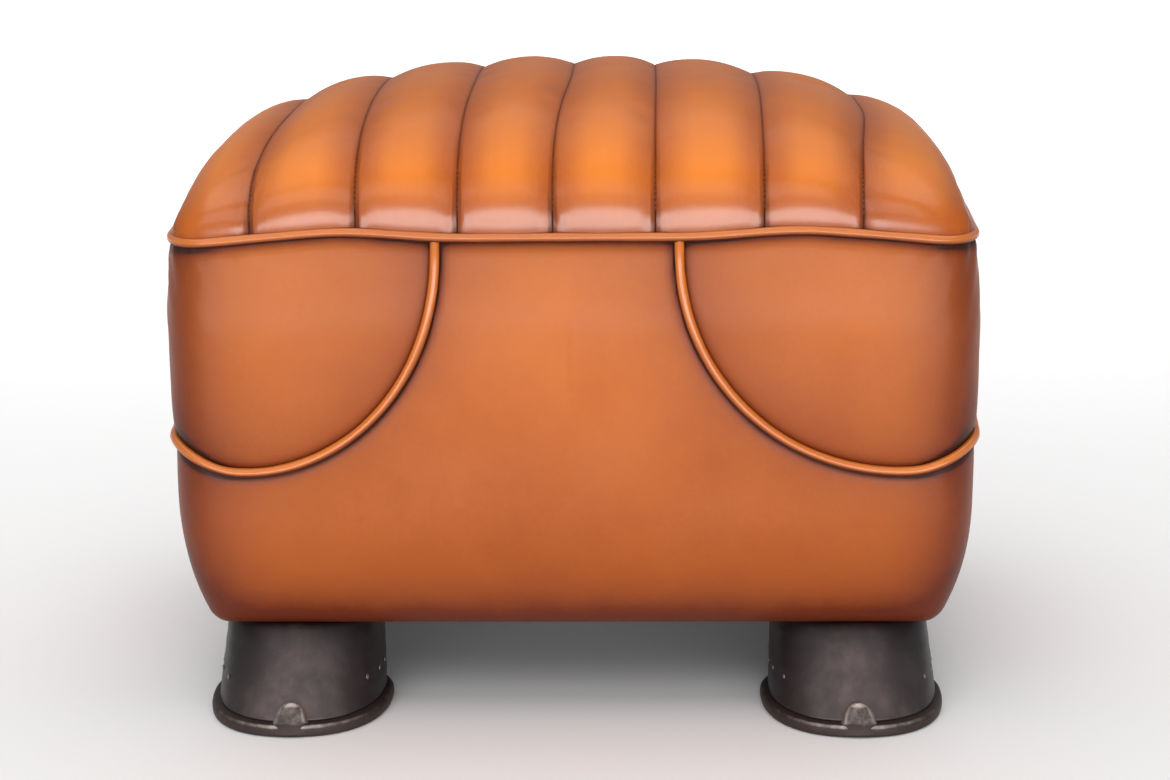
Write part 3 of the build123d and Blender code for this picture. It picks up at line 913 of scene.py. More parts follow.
def make_cover(material):
    """The body's leather band, cut away where the four patches are."""
    plan = body_plan()
    walks, tops = [], []
    # The quarters in order round the body; every second one runs from its far end back to a middle
    order = (("front_right", False), ("back_right", True), ("back_left", False), ("front_left", True))
    hairline = 0.0002
    for corner, reverse in order:
        right = corner_signs[corner][0]
        start, end = float(swag_start(right)), swag_end()
        before = edge_columns(0, start, 0.002, 0.007)[:-1]
        after = edge_columns(end, plan.quarter, 0.002, 0.007)[1:]
        near = np.concatenate([before, [start - hairline], patch_columns(right), [end + hairline], after])
        inside = (near >= start) & (near <= end)
        top = np.where(inside, swag_level(near, right), seat_line + wave_at(near) - edge_tuck)
        top[np.isclose(near, start)], top[np.isclose(near, end)] = sizes("swag").turn_height, sizes("swag").side_height
        walk = quarter_walk(near, corner)
        if reverse:
            walk, top = walk[::-1], top[::-1]
        walk = np.mod(walk, 4 * plan.quarter)
        if corner == "front_left":
            walk = np.where(walk < plan.quarter, walk + 4 * plan.quarter, walk)
        walks.append(walk[:-1])
        tops.append(top[:-1])
    walk, top = np.concatenate(walks), np.concatenate(tops)
    cover = wall_sheet("body_cover_leather", walk, height_rows(top), True, False)
    thicken(cover, sizes("body").leather)
    finish_piece(cover, material, "body_leather", "body_cover", "padding_front", "padding_back", "padding_left",
                 "padding_right")


def make_patch(corner, material):
    """One corner patch, a padded leather that fills its opening."""
    right, front = corner_signs[corner]
    near = patch_columns(right)
    low = swag_level(near, right)
    low[0], low[-1] = sizes("swag").turn_height, sizes("swag").side_height
    high = seat_line + wave_at(near) - edge_tuck
    walk = quarter_walk(near, corner)
    if right * front < 0:
        walk, low, high = walk[::-1], low[::-1], high[::-1]
    rows = [(low + (high - low) * t, 0.0) for t in edge_columns(0, 1, 0.012, 0.03)]
    patch = wall_sheet(f"corner_patch_{corner}", walk, rows, False, True)
    thicken(patch, sizes("body").leather)
    finish_piece(patch, material, "body_leather", f"corner_panel_{corner}")


def make_corner_welt(corner, material):
    """The piping along one patch's seam."""
    right, _ = corner_signs[corner]
    near, level = swag_path(right)
    path = resample(wall_point(quarter_walk(near, corner), level, out=sizes("welt").stand), 0.004)
    evened(path, 3)
    welt = tube(f"corner_piping_{corner}", path, seed=len(corner))
    add_masks(welt, 0.05, 0.7)
    finish_piece(welt, material, "welt_leather", f"corner_welt_{corner}")


def add_masks(piece, seam, swell):
    """A welt's masks: the same paleness all over, polish on its upper side, and a dark mask that deepens on its
    underside as painted shade.
    """
    # Painted shade: the piping is darker on its underside.
    under = smoothstep(-read_points(piece.data, "normal")[:, 2], -0.1, 0.5)
    for key, value in (("seam", np.minimum(seam + 0.9 * under, 1)), ("swell", swell), ("polish", 1 - under)):
        set_attribute(piece.data, key, np.broadcast_to(value, len(under)))


def seat_welt_path():
    """The loop that the seat's piping follows, a little inside the body's wall."""
    plan = body_plan()
    walk = np.linspace(0, 4 * plan.quarter, 480, endpoint=False)
    near, _, _ = plan.fold(walk)
    inset = half_width - welt_high.x + welt_radius
    x, y, out_x, out_y = plan.at(walk)
    bow, on_front = wall_bow(near)
    move = bow * seat_bow_share - inset - (1 - on_front) * sizes("body").side_stand_in * 0.5
    return np.stack([x + out_x * move, y + out_y * move, seat_line + wave_at(near)], 1)


# ---- seat form

# How far each of the seven hand-sewn seams stands from its even place, at the front edge and over the crest
seam_shift_front = (-0.0138, -0.0096, -0.0085, -0.0126, -0.0113, -0.0057, -0.0074)
seam_shift_crest = (-0.0035, -0.0070, -0.0035, -0.0023, -0.0102, -0.0040, 0.0038)
channel_count = 8
# Rows of the seat's leather from front to back
seat_rows = 101
# Places of the leather's columns over half a channel, from its seam to its middle
column_places = (-1, -0.965, -0.905, -0.83, -0.73, -0.57, -0.30, 0)


def channel_places():
    """Places of a channel's columns from seam to seam, close together at the seams."""
    half = np.array(column_places)
    return np.concatenate([half, -half[-2::-1]])


def even_curve(half, rise, power, count=600):
    """Half a dome's profile: distances walked along the curve and places from 0 to half."""
    turn = np.linspace(0, math.pi / 2, count)
    place = half * np.sin(turn) ** (2 / power)
    height = rise * np.cos(turn) ** (2 / power)
    walked = np.concatenate([[0], np.cumsum(np.hypot(np.diff(place), np.diff(height)))])
    return walked, place


def seat_half_sizes():
    """Half width, half depth and corner radius of the seat's edge."""
    inset = sizes("seat").side_inset
    return half_width - inset, half_depth - inset, sizes("body").corner_radius - inset


def seat_grid():
    """Plan places of the seat's points: rows from front to back, columns from left to right, seams on columns."""
    seat = sizes("seat")
    half_x, half_y, radius = seat_half_sizes()
    walked, place = even_curve(half_x, seat.dome_rise, seat.across_power)
    walked_y, place_y = even_curve(1.0, seat.dome_rise / half_y, seat.along_power)
    steps = np.linspace(-walked_y[-1], walked_y[-1], seat_rows)
    shares = np.sign(steps) * np.interp(np.abs(steps), walked_y, place_y)
    even = (np.arange(1, channel_count) / channel_count * 2 - 1) * half_x
    columns = []
    for share_y in shares:
        toward = smoothstep(abs(share_y), 0.15, 1.0) * (1.0 if share_y < 0 else 0.6)
        shift = np.array(seam_shift_crest) * (1 - toward) + np.array(seam_shift_front) * toward
        seams = np.concatenate([[-half_x], even + shift, [half_x]])
        lengths = np.sign(seams) * np.interp(np.abs(seams), place, walked)
        row = []
        for i in range(channel_count):
            parts = lengths[i] + (lengths[i + 1] - lengths[i]) * (channel_places() + 1) / 2
            row.append(parts if i == channel_count - 1 else parts[:-1])
        row = np.concatenate(row)
        columns.append(np.sign(row) * np.interp(np.abs(row), walked, place))
    x = np.array(columns)
    rounded = np.clip(np.abs(x) - (half_x - radius), 0, radius)
    reach = half_y - radius + np.sqrt(np.maximum(radius**2 - rounded**2, 0))
    y = shares[:, None] * reach
    return x, y, shares


def seat_bow(x, y):
    """How far the hand-sewn seat swells beyond its straight outline."""
    body = sizes("body")
    return (x / half_width * body.side_bow * seat_bow_share * (1 - (y / half_depth) ** 2),
            y / half_depth * body.front_bow * seat_bow_share * (1 - (x / half_width) ** 2))


def seat_dome(x, y, shares):
    """The seat's points before its channels swell."""
    seat, plan = sizes("seat"), body_plan()
    half_x = seat_half_sizes()[0]
    across = (1 - np.minimum(np.abs(x) / half_x, 1) ** seat.across_power) ** (1 / seat.across_power)
    along = (1 - np.abs(shares) ** seat.along_power) ** (1 / seat.along_power)
    rise = seat.dome_rise * across * along[:, None]
    edge_x, edge_y = np.abs(x) / half_x, np.abs(shares)[:, None] + 0 * x
    side_near = plan.front + plan.arc + np.clip(half_depth - plan.radius - np.abs(y), 0, None)
    near = np.where(edge_y >= edge_x, np.abs(x), side_near)
    lift = wave_at(near) * np.maximum(edge_x, edge_y) ** 6
    bow_x, bow_y = seat_bow(x, y)
    flare = seat.edge_flare * fade(rise, 0.004)
    x = x + bow_x + flare * np.sign(x) * (edge_x > 0.9)
    y = y + bow_y + flare * np.sign(y) * (edge_y > 0.9)
    return np.stack([x, y, seat_line + seat.edge_lift + rise + lift], -1), seat_line - edge_tuck + lift


def grid_normals(points):
    """Outward directions over a grid of points."""
    down = np.gradient(points, axis=0)
    over = np.gradient(points, axis=1)
    normal = np.cross(over, down)
    return normal / np.maximum(np.linalg.norm(normal, axis=-1), 1e-9)[..., None]


def seam_puckers(part, from_edge):
    """Heights of the small pleats that stand beside each seam just above the piping; no two are alike."""
    seat = sizes("seat")
    gap = (1 - np.abs(part)) * seat_half_sizes()[0] / channel_count
    climb = from_edge * seat_half_sizes()[1] * 1.15
    changes = np.flatnonzero(np.diff(np.sign(part + 1e-6)) != 0)
    side = np.searchsorted(changes, np.arange(len(part)) - 0.5)
    draw = np.random.default_rng(23)
    height, place, middle = (draw.uniform(*ends, side.max() + 1)[side] for ends in (
        (0.5, 1.25), (0.0052, 0.0072), (0.009, 0.015)))
    across = hump(gap - place, 0.0028) * (np.abs(part) < 0.999)
    up = hump(climb[:, None] - middle, 0.008) * smoothstep(climb, 0.0, 0.006)[:, None]
    return seat.pucker_height * height * across * up


def make_seat(material):
    """Eight stuffed channels under one dome, swollen together between their seams and then parted."""
    seat = sizes("seat")
    across_steps = len(channel_places()) - 1
    points, base = seat_dome(*seat_grid())
    part = np.concatenate([channel_places()[:-1]] * channel_count + [[1.0]])
    swell = 1 - np.abs(part) ** seat.crown_power
    from_edge = 1 - np.abs(np.linspace(-1, 1, seat_rows))
    ends = 0.62 + 0.38 * smoothstep(from_edge, 0.0, 0.16)
    points = points + grid_normals(points) * (swell[None, :] * ends[:, None] * seat.crown)[..., None]
    rows, columns = points.shape[:2]
    sheet = new_piece("seat_sheet", points, grid_faces(rows, columns))
    index = np.arange(rows * columns).reshape(rows, columns)
    held = np.unique(np.concatenate([index[:, ::across_steps].ravel(), index[:1].ravel(), index[-1:].ravel()]))
    swollen = stuffed(sheet, held, pressure=4.0, slack=0.006, cap=seat.stuffing_cap)
    swollen = swollen.reshape(rows, columns, 3) - points
    evened(swollen, 3)
    points = points + swollen * smoothstep(from_edge, -0.02, 0.20)[:, None, None]
    bpy.data.objects.remove(sheet)
    points = points + grid_normals(points) * seam_puckers(part, from_edge)[..., None]
    for index in range(channel_count):
        first = index * across_steps
        top = points[:, first:first + across_steps + 1]
        make_channel(index, top, base[:, first:first + across_steps + 1], material)


def seam_lines():
    """The seven seams of the seat, each from front to back."""
    points, _ = seat_dome(*seat_grid())
    steps = len(channel_places()) - 1
    return [points[:, steps * k] for k in range(1, channel_count)]


def channel_solid(top, base_level):
    """A channel's points and faces: its leather top, tucked into the seams, and a flat underside on the foam."""
    rows, columns = top.shape[:2]
    border = grid_border(rows, columns)
    edge = np.array([top[r, c] for r, c in border])
    floor_level = np.array([base_level[r, c] for r, c in border])
    inward = np.array([((c == 0) - (c == columns - 1), (r == 0) - (r == rows - 1), 0.0) for r, c in border])
    tuck, foot = edge + inward * 0.0002, edge + inward * 0.0012
    height = edge[:, 2] - floor_level
    deep = np.maximum(edge[:, 2] - sizes("seat").seam_depth, floor_level + height * 0.5)
    tuck[:, 2] = np.where(height < 0.004, edge[:, 2] - 0.0012, deep)
    foot[:, 2] = floor_level
    below = np.dstack([top[..., :2], base_level])[1:-1, 1:-1]
    points = np.vstack([top.reshape(-1, 3), tuck, foot, below.reshape(-1, 3)])

    count, around = rows * columns, len(border)
    faces = grid_faces(rows, columns)
    for k, (r, c) in enumerate(border):
        n = (k + 1) % around
        here, after = r * columns + c, border[n][0] * columns + border[n][1]
        faces.append((after, here, count + k, count + n))
        faces.append((count + n, count + k, count + around + k, count + around + n))
    where = np.empty((rows, columns), int)
    where[1:-1, 1:-1] = count + 2 * around + np.arange((rows - 2) * (columns - 2)).reshape(rows - 2, columns - 2)
    for k, place in enumerate(border):
        where[place] = count + around + k
    where = where.tolist()
    faces += [(where[r][c], where[r + 1][c], where[r + 1][c + 1], where[r][c + 1])
              for r in range(rows - 1) for c in range(columns - 1)]
    return points, faces


def channel_masks(top, base_level, rest):
    """Dark and pale masks, puckers and polish of a channel's top, and one value each for the rest of its points: the
    dark mask is the seam line with painted shade and shadow, the pale one rubbing with painted light.
    """
    gap = np.minimum(np.abs(top[..., 0] - top[:, :1, 0]), np.abs(top[:, -1:, 0] - top[..., 0]))
    height = top[..., 2] - base_level
    # The seam's thin dark line, with wider painted shade beside it and painted shadow where the channel meets the
    # piping; the next line also darkens the lowest few centimetres.
    seam = 0.54 * fade(gap, 0.0014) + 0.24 * fade(gap, 0.007) + 0.70 * fade(height, 0.004)
    seam = seam + 0.16 * (1 - smoothstep(height, 0.012, 0.045))
    # Paler in the channels' middles by rubbing and painted highlight, and less pale near the seams, the piping and on
    # the crest, where painted shade falls.
    swell = smoothstep(gap, 0.003, 0.030) * smoothstep(height, 0.010, 0.050)
    swell = swell * (0.42 + 0.58 * smoothstep(height, 0.105, 0.045))
    pucker = hump(gap, 0.010) * hump(height, 0.045) * smoothstep(gap, 0.0, 0.003)
    polish = (1 - smoothstep(height, 0.023, 0.045)) * (1 - smoothstep(np.abs(top[..., 0]), 0.256, 0.279))
    darkest = 0.74
    masks = {"seam": (np.clip(seam, 0, darkest), darkest), "swell": (swell, 0), "pucker": (pucker, 0),
             "polish": (polish, 0)}
    return {name: np.concatenate([values.ravel(), np.full(rest, below)]) for name, (values, below) in masks.items()}


def make_channel(index, top, base_level, material):
    """One stuffed channel of the seat."""
    points, faces = channel_solid(top, base_level)
    masks = channel_masks(top, base_level, len(points) - base_level.size)
    channel = new_piece(f"channel_{index + 1}", points, faces, masks)
    smoother(channel)
    finish_piece(channel, material, "seat_leather", f"seat_channel_{index + 1}", f"channel_filling_{index + 1}")


# ---- feet


def hoof_ring(side, toe, heel, widest, count=112):
    """A hoof's outline: squarish toe, straighter quarters, two heel bulbs and a cleft between them."""
    power = 2 / sizes("foot").toe_squareness
    turn = np.linspace(0, math.pi / 2, 80)
    front_x, front_y = side * np.sin(turn) ** power, widest - (widest - toe) * np.cos(turn) ** power
    heel_side = side * 0.66
    bulb = (heel - widest) * 0.2
    t = np.linspace(0, 1, 30)[1:]
    quarter_x = side - (side - heel_side) * t**2.2
    quarter_y = widest + (heel - bulb - widest) * t
    t = np.linspace(0, 1, 24)[1:]
    cleft = heel - (heel - widest) * 0.12
    bulb_x = heel_side * (1 - t)
    ends = (heel - bulb) * (1 - t) + cleft * t
    bulb_y = ends + (heel + bulb / 2 - (heel - bulb + cleft) / 2) * 4 * t * (1 - t) * 0.9
    half = np.stack([np.concatenate([front_x, quarter_x, bulb_x]), np.concatenate([front_y, quarter_y, bulb_y])], 1)
    whole = np.vstack([half, (half * (-1, 1))[::-1][1:-1]])
    closed = np.vstack([whole, whole[:1]])
    walked = walked_along(closed)
    where = np.linspace(0, walked[-1], count, endpoint=False)
    even = np.stack([np.interp(where, walked, closed[:, k]) for k in range(2)], 1)
    for _ in range(2):
        even = (np.roll(even, 1, 0) + 2 * even + np.roll(even, -1, 0)) / 4
    return even


# Distance of the feet's studs from the middle; a foot turns outward about its stud
stud_place = 0.137


def place_foot(points, corner):
    """Moves a foot made for the front right, about its own middle, to its corner."""
    foot = sizes("foot")
    c, s = math.cos(foot.toe_out), math.sin(foot.toe_out)
    x, y, z = np.transpose(points)
    y = y + stud_place
    right, front = corner_signs[corner]
    return np.stack([c * x - s * y + foot.spread / 2, s * x + c * y - stud_place, z], 1) * (right, front, 1)


def hoof_centre():
    """Where the front feet are widest, from front to back."""
    return -sizes("foot").widest


def facing_degrees(ring, widest):
    """Where a ring's points lie round the hoof, from 0 at the toe, in degrees to each side."""
    return np.degrees(np.arctan2(ring[:, 0], widest - ring[:, 1]))


def make_hoof(corner, material):
    """A hoof: leaning wall with growth rings, rounded top and a dished sole with its frog."""
    foot = sizes("foot")
    widest, levels = hoof_centre(), 26
    low, high = foot.shoe_thickness, underside
    draw = np.random.default_rng(11 + corners.index(corner))
    phase = draw.uniform(0, 6.28, 3)
    rings = []
    shift = (foot.toe_lean + foot.heel_lean) / 2
    for t in np.linspace(0, 1, levels):
        centre = np.array([0, widest + shift * t])
        ring = hoof_ring(foot.ground_side + (foot.crown_side - foot.ground_side) * t,
                         widest - foot.toe + foot.toe_lean * t,
                         widest + foot.heel + foot.heel_lean * t, centre[1])
        growth = 0.00013 * math.sin(t * 31 + phase[0]) + 0.00008 * math.sin(t * 67 + phase[1])
        if t > 0.93:
            growth -= 0.0016 * ((t - 0.93) / 0.07) ** 2
        around = np.linspace(0, 2 * math.pi, len(ring), endpoint=False)
        uneven = 0.0004 * np.sin(3 * around + phase[2] + 2 * t) + 0.0002 * np.sin(9 * around - 3 * t)
        ring = ring + unit(ring - centre) * (growth + uneven)[:, None]
        rings.append(np.column_stack([ring, np.full(len(ring), low + (high - low) * t)]))
    top_centre = np.array([0, widest + shift, high])
    crown = [top_centre + (rings[-1] - top_centre) * k for k in (0.93, 0.7, 0.35, 0.05)]
    stack = sole_rings(rings[0]) + rings + crown
    points = np.vstack(stack)
    facing = np.arctan2(points[:, 0], widest - points[:, 1])
    # The toe mask is painted light: paler down the front of the wall, where light falls, and darker at its top,
    # painted shadow under the body.
    hoof = new_piece(f"hoof_wall_{corner}", place_foot(points, corner), bar_faces(len(stack), len(rings[0])),
                     {"toe": hump(facing, 0.62) * (1 - 0.8 * smoothstep(points[:, 2], 0.045, high))})
    smoother(hoof)
    finish_piece(hoof, material, "hoof_horn", f"hoof_{corner}")


def sole_rings(ground):
    """Rings from the middle of the hoof's underside to its ground edge: a dished sole and a grooved frog."""
    foot, widest = sizes("foot"), hoof_centre()
    low = foot.shoe_thickness
    centre = np.array([0, widest, low])
    sole = []
    for k in (0.03, 0.12, 0.24, 0.36, 0.48, 0.6, 0.7, 0.76, 0.8, 0.9):
        ring = centre + (ground - centre) * k
        dish = smoothstep(0.82 - k, 0.0, 0.1) * 0.004
        x, y = ring[:, 0], ring[:, 1] - (widest + foot.heel)
        frog = smoothstep(0.021 * np.clip(1 + y / 0.07, 0, 1) - np.abs(x), -0.001, 0.003)
        groove = frog * (1 - smoothstep(np.abs(x), 0.0005, 0.004)) * (y > -0.04)
        ring[:, 2] = low + dish * (1 - 0.9 * frog) + 0.002 * groove * (dish > 0)
        sole.append(ring)
    return sole


def shoe_section():
    """The shoe's bar in section: across from its outer edge, height, and how bright that place is: worn bright, and on
    the top outer edge also a painted highlight.
    """
    foot = sizes("foot")
    web, thick = foot.shoe_web, foot.shoe_thickness
    return (
        (0.0012, 0.0, 0.1), (0.0003, 0.0009, 0.3), (0.0, 0.003, 0.15), (0.0001, thick - 0.0032, 0.25),
        (0.0006, thick - 0.0016, 0.7), (0.0017, thick - 0.0004, 0.75), (0.0034, thick, 0.3),
        (0.006, thick, 0.1), (web - 0.004, thick, 0.05), (web - 0.001, thick - 0.0006, 0.2),
        (web, thick - 0.002, 0.1), (web, 0.002, 0.1), (web - 0.001, 0.0005, 0.3), (web - 0.003, 0.0, 0.3),
    )


# How far round from the toe the shoe's branches reach, in degrees
heel_turn = 137


def make_shoe(corner, material):
    """A horseshoe: a bar bent round the hoof, creased underneath, with rounded heels and a toe clip."""
    foot = sizes("foot")
    widest = hoof_centre()
    outline = hoof_ring(foot.ground_side + foot.shoe_side, widest - foot.toe - foot.shoe_toe,
                        widest + foot.heel + 0.004, widest, 240)
    turn = facing_degrees(outline, widest)
    order = [k for k in np.argsort(turn) if abs(turn[k]) < heel_turn]
    outline, turn = outline[order], turn[order]
    along = unit(np.gradient(outline, axis=0))
    inward = np.stack([-along[:, 1], along[:, 0]], 1)
    section, middle = shoe_section(), foot.shoe_web / 2
    crease = [(0.0155, 0.0), (0.0145, 0.0034), (0.0105, 0.0034), (0.0095, 0.0)]
    walked = walked_along(outline)
    from_end = np.minimum(walked, walked[-1] - walked)
    points, wear_and_highlight = [], []
    for i, place in enumerate(outline):
        tuck = 0.006 * (1 - math.sqrt(max(0, 1 - (1 - min(1, from_end[i] / 0.008)) ** 2)))
        branch = float(smoothstep(abs(turn[i]), 38, 46) * (1 - smoothstep(abs(turn[i]), 104, 112)))
        # Brighter towards the toe: a painted highlight where the front of the shoe faces the light.
        rubbed = 0.55 + 0.45 * hump(turn[i], 28)
        for across, height, worn in section:
            squeezed = middle + (across - middle) * (1 - tuck / 0.0115)
            points.append((*(place + inward[i] * squeezed), height))
            wear_and_highlight.append(worn * rubbed)
        for across, depth in crease:
            points.append((*(place + inward[i] * across), depth * branch))
            wear_and_highlight.append(0.1)
    faces = bar_faces(len(outline), len(section) + len(crease))
    clip_points, clip_faces, clip_wear = toe_clip(len(points))
    shoe = new_piece(f"shoe_{corner}", place_foot(np.vstack([points, clip_points]), corner), faces + clip_faces,
                     {"wear_and_highlight": np.concatenate([wear_and_highlight, clip_wear])})
    smoother(shoe)
    finish_piece(shoe, material, "shoe_iron", f"horseshoe_{corner}")


def toe_clip(start):
    """The toe clip's points, faces and brightness: a tongue drawn up from the shoe's outer face against the leaning
    wall, worn bright along its rim and at its tip.
    """
    foot = sizes("foot")
    toe = hoof_centre() - foot.toe
    outer = toe - foot.shoe_toe
    slope = math.atan2(underside - foot.shoe_thickness, foot.toe_lean)
    up = np.array([0, math.cos(slope), math.sin(slope)])
    out = np.array([0, -math.sin(slope), math.cos(slope)])
    root = np.array([0, toe, foot.shoe_thickness])
    tip = root + up * foot.clip_height + out * foot.clip_thickness
    low = np.array([0, outer - 0.0010, 0.0012])
    bend = np.array([0, outer - 0.0016, foot.shoe_thickness + 0.002])
    sides, levels = 17, np.concatenate([np.linspace(0, 0.8, 13), [0.86, 0.91, 0.95, 0.98, 0.995]])
    points, wear_and_highlight = [], []
    for level in levels:
        face = low * (1 - level) ** 2 + bend * 2 * level * (1 - level) + tip * level**2
        rise = max(0.0, (face[2] - foot.shoe_thickness * 0.7) / (tip[2] - foot.shoe_thickness * 0.7))
        half = foot.clip_width / 2 * max(1 - rise**3.2, 0.0) ** 0.5 + foot.clip_flare * math.exp(-rise / 0.2)
        wall = root + up * max(0.0, (face[2] - foot.shoe_thickness) / math.sin(slope) - 0.001)
        wall = wall + out * -0.0006 if face[2] > foot.shoe_thickness else np.array([0, toe, face[2]])
        for k in range(sides):
            u = -1 + 2 * k / (sides - 1)
            bulge = max(0.0, 1 - abs(u) ** 9) ** 0.5 * (0.9 + 0.1 * (1 - u * u))
            place = wall * (1 - bulge) + face * bulge
            points.append(place + np.array([u * half, 0.0011 * u * u, 0]))
            rim = smoothstep(abs(u), 0.66, 0.88) * smoothstep(rise, 0.1, 0.4)
            rubbed = max(float(rim), float(smoothstep(rise, 0.8, 0.95)))
            wear_and_highlight.append((0.50 + 0.50 * rubbed) * (0.4 + 0.6 * float(smoothstep(rise, 0.02, 0.3))))
        for k in range(1, sides - 1):
            u = 1 - 2 * k / (sides - 1)
            points.append(wall + np.array([u * half, 0.0011 * u * u + 0.0008, 0]))
            wear_and_highlight.append(0.5)
    return points, bar_faces(len(levels), 2 * sides - 2, start), np.clip(wear_and_highlight, 0, 1)


# ---- small repeats


def row_tree():
    """A node tree that sets a small rounded bar on each point, turned by the point's own directions."""
    tree = bpy.data.node_groups.new("row_of_bars", "GeometryNodeTree")
    tree.interface.new_socket("Geometry", in_out="OUTPUT", socket_type="NodeSocketGeometry")
    for name, kind in (("Geometry", "Geometry"), ("Bar Size", "Vector"), ("Unevenness", "Float"), ("Seed", "Int"),
                       ("Material", "Material")):
        tree.interface.new_socket(name, in_out="INPUT", socket_type="NodeSocket" + kind)

    def add(kind, settings=None, **inputs):
        return add_node(tree, kind, settings, inputs).outputs[0]

    source = add_node(tree, "NodeGroupInput").outputs
    bead = add("GeometryNodeMeshUVSphere", Segments=8, Rings=6, Radius=0.5)
    along, out = (add("GeometryNodeInputNamedAttribute", {"data_type": "FLOAT_VECTOR"}, Name=name)
                  for name in ("along", "out"))
    first = add("FunctionNodeAlignRotationToVector", {"axis": "X"}, Vector=along)
    second = add("FunctionNodeAlignRotationToVector", {"axis": "Z", "pivot_axis": "X"}, Rotation=first, Vector=out)
    spread = add_node(tree, "FunctionNodeRandomValue", {"data_type": "FLOAT"},
                      {"Seed": source["Seed"], 3: source["Unevenness"]}).outputs[1]
    grow = add_node(tree, "ShaderNodeMath", {"operation": "ADD"}, {0: spread, 1: 1.0}).outputs[0]
    scale = add("ShaderNodeVectorMath", {"operation": "SCALE"}, Vector=source["Bar Size"], Scale=grow)
    bars = add("GeometryNodeInstanceOnPoints", Points=source["Geometry"], Instance=bead, Rotation=second, Scale=scale)
    real = add("GeometryNodeRealizeInstances", Geometry=bars)
    smooth = add("GeometryNodeSetShadeSmooth", Geometry=real)
    paint = add("GeometryNodeSetMaterial", Geometry=smooth, Material=source["Material"])
    add_node(tree, "NodeGroupOutput", inputs={0: paint})
    return tree


def bars_on(name, places, alongs, outs, bar, material, slot, unevenness):
    """Small bars of one kind as a plain mesh, made by the row tree."""
    tree = bpy.data.node_groups.get("row_of_bars") or row_tree()
    mesh = bpy.data.meshes.new(name)
    mesh.from_pydata(np.vstack(places).tolist(), [], [])
    for key, values in (("along", alongs), ("out", outs)):
        set_attribute(mesh, key, np.vstack(values), "FLOAT_VECTOR", "vector")
    piece = add_object(name, mesh)
    step = piece.modifiers.new("row", "NODES")
    step.node_group = tree
    wanted = {"Bar Size": bar, "Unevenness": unevenness, "Seed": 3, "Material": material}
    for item in tree.interface.items_tree:
        if item.in_out == "INPUT" and item.name in wanted:
            step[item.identifier] = wanted[item.name]
    bpy.context.view_layer.update()
    bake_modifiers(piece)
    for key in ("along", "out"):
        if key in piece.data.attributes:
            piece.data.attributes.remove(piece.data.attributes[key])
    finish_piece(piece, material, slot)
    return piece


def along_path(path, pitch):
    """Places an even pitch apart on a path, and the directions along it."""
    even = resample(path, pitch)
    return even, unit(np.gradient(even, axis=0))


def make_stitches(material):
    """Thread in the valleys of the seat's seams and along both sides of the body's back seam."""
    welt = sizes("welt")
    sunk, from_back_seam, unevenness = 0.0006, 0.0042, 0.1
    places, alongs, outs = [], [], []
    for line in seam_lines():
        even, along = along_path(line[4:-4], welt.stitch_pitch)
        side = np.cross(along, (1.0, 0.0, 0.0))
        up = side * np.sign(side[:, 2:])
        places.append(even - up * sunk)
        alongs.append(along)
        outs.append(up)
    bar = (welt.stitch_length, welt.thread * 1.3, welt.thread)
    bars_on("seam_stitches", places, alongs, outs, bar, material, "seat_leather", unevenness)
    places, alongs, outs = [], [], []
    back = 2 * body_plan().quarter
    for side in (-from_back_seam, from_back_seam):
        height = np.arange(underside + 0.012, seat_line - 0.008, welt.stitch_pitch)
        even, along = along_path(wall_point(back + side + 0 * height, height, out=0.0002), welt.stitch_pitch)
        places.append(even)
        alongs.append(along)
        outs.append(np.tile((0.0, 1.0, 0.0), (len(even), 1)))
    bars_on("back_seam_stitches", places, alongs, outs, bar, material, "body_leather", unevenness)


def make_clinches(material):
    """The nail ends clinched down on the hoof walls, three to each side."""
    foot = sizes("foot")
    places, alongs, outs = [], [], []
    rise, clinch, turns = 0.019, (0.0042, 0.0034, 0.0012), (-84, -68, -52, 52, 68, 84)
    part = rise / (underside - foot.shoe_thickness)
    widest = hoof_centre() + (foot.toe_lean + foot.heel_lean) / 2 * part
    ring = hoof_ring(foot.ground_side + (foot.crown_side - foot.ground_side) * part,
                     hoof_centre() - foot.toe + foot.toe_lean * part, widest + foot.heel, widest, 240)
    turn = facing_degrees(ring, widest)
    for wanted in turns:
        k = int(np.argmin(np.abs(turn - wanted)))
        along = ring[(k + 1) % len(ring)] - ring[k - 1]
        out = np.array([along[1], -along[0], 0.0])
        out *= np.sign(out[0] * ring[k, 0]) / np.linalg.norm(out)
        lean = math.atan2(foot.toe_lean, underside - foot.shoe_thickness) * max(0, math.cos(math.radians(turn[k])))
        up = np.array([0, math.sin(lean), math.cos(lean)])
        places.append((ring[k, 0], ring[k, 1], foot.shoe_thickness + rise))
        alongs.append(up)
        outs.append(out - up * (out @ up))
    spots = [place_foot(places, corner) for corner in corners]
    alongs, outs = ([np.multiply(directions, (*corner_signs[corner], 1)) for corner in corners]
                    for directions in (alongs, outs))
    bars_on("nail_clinches", spots, alongs, outs, clinch, material, "nail_steel", 0.12)


# Distance from staple to staple along the base cloth's edges
staple_pitch = 0.034


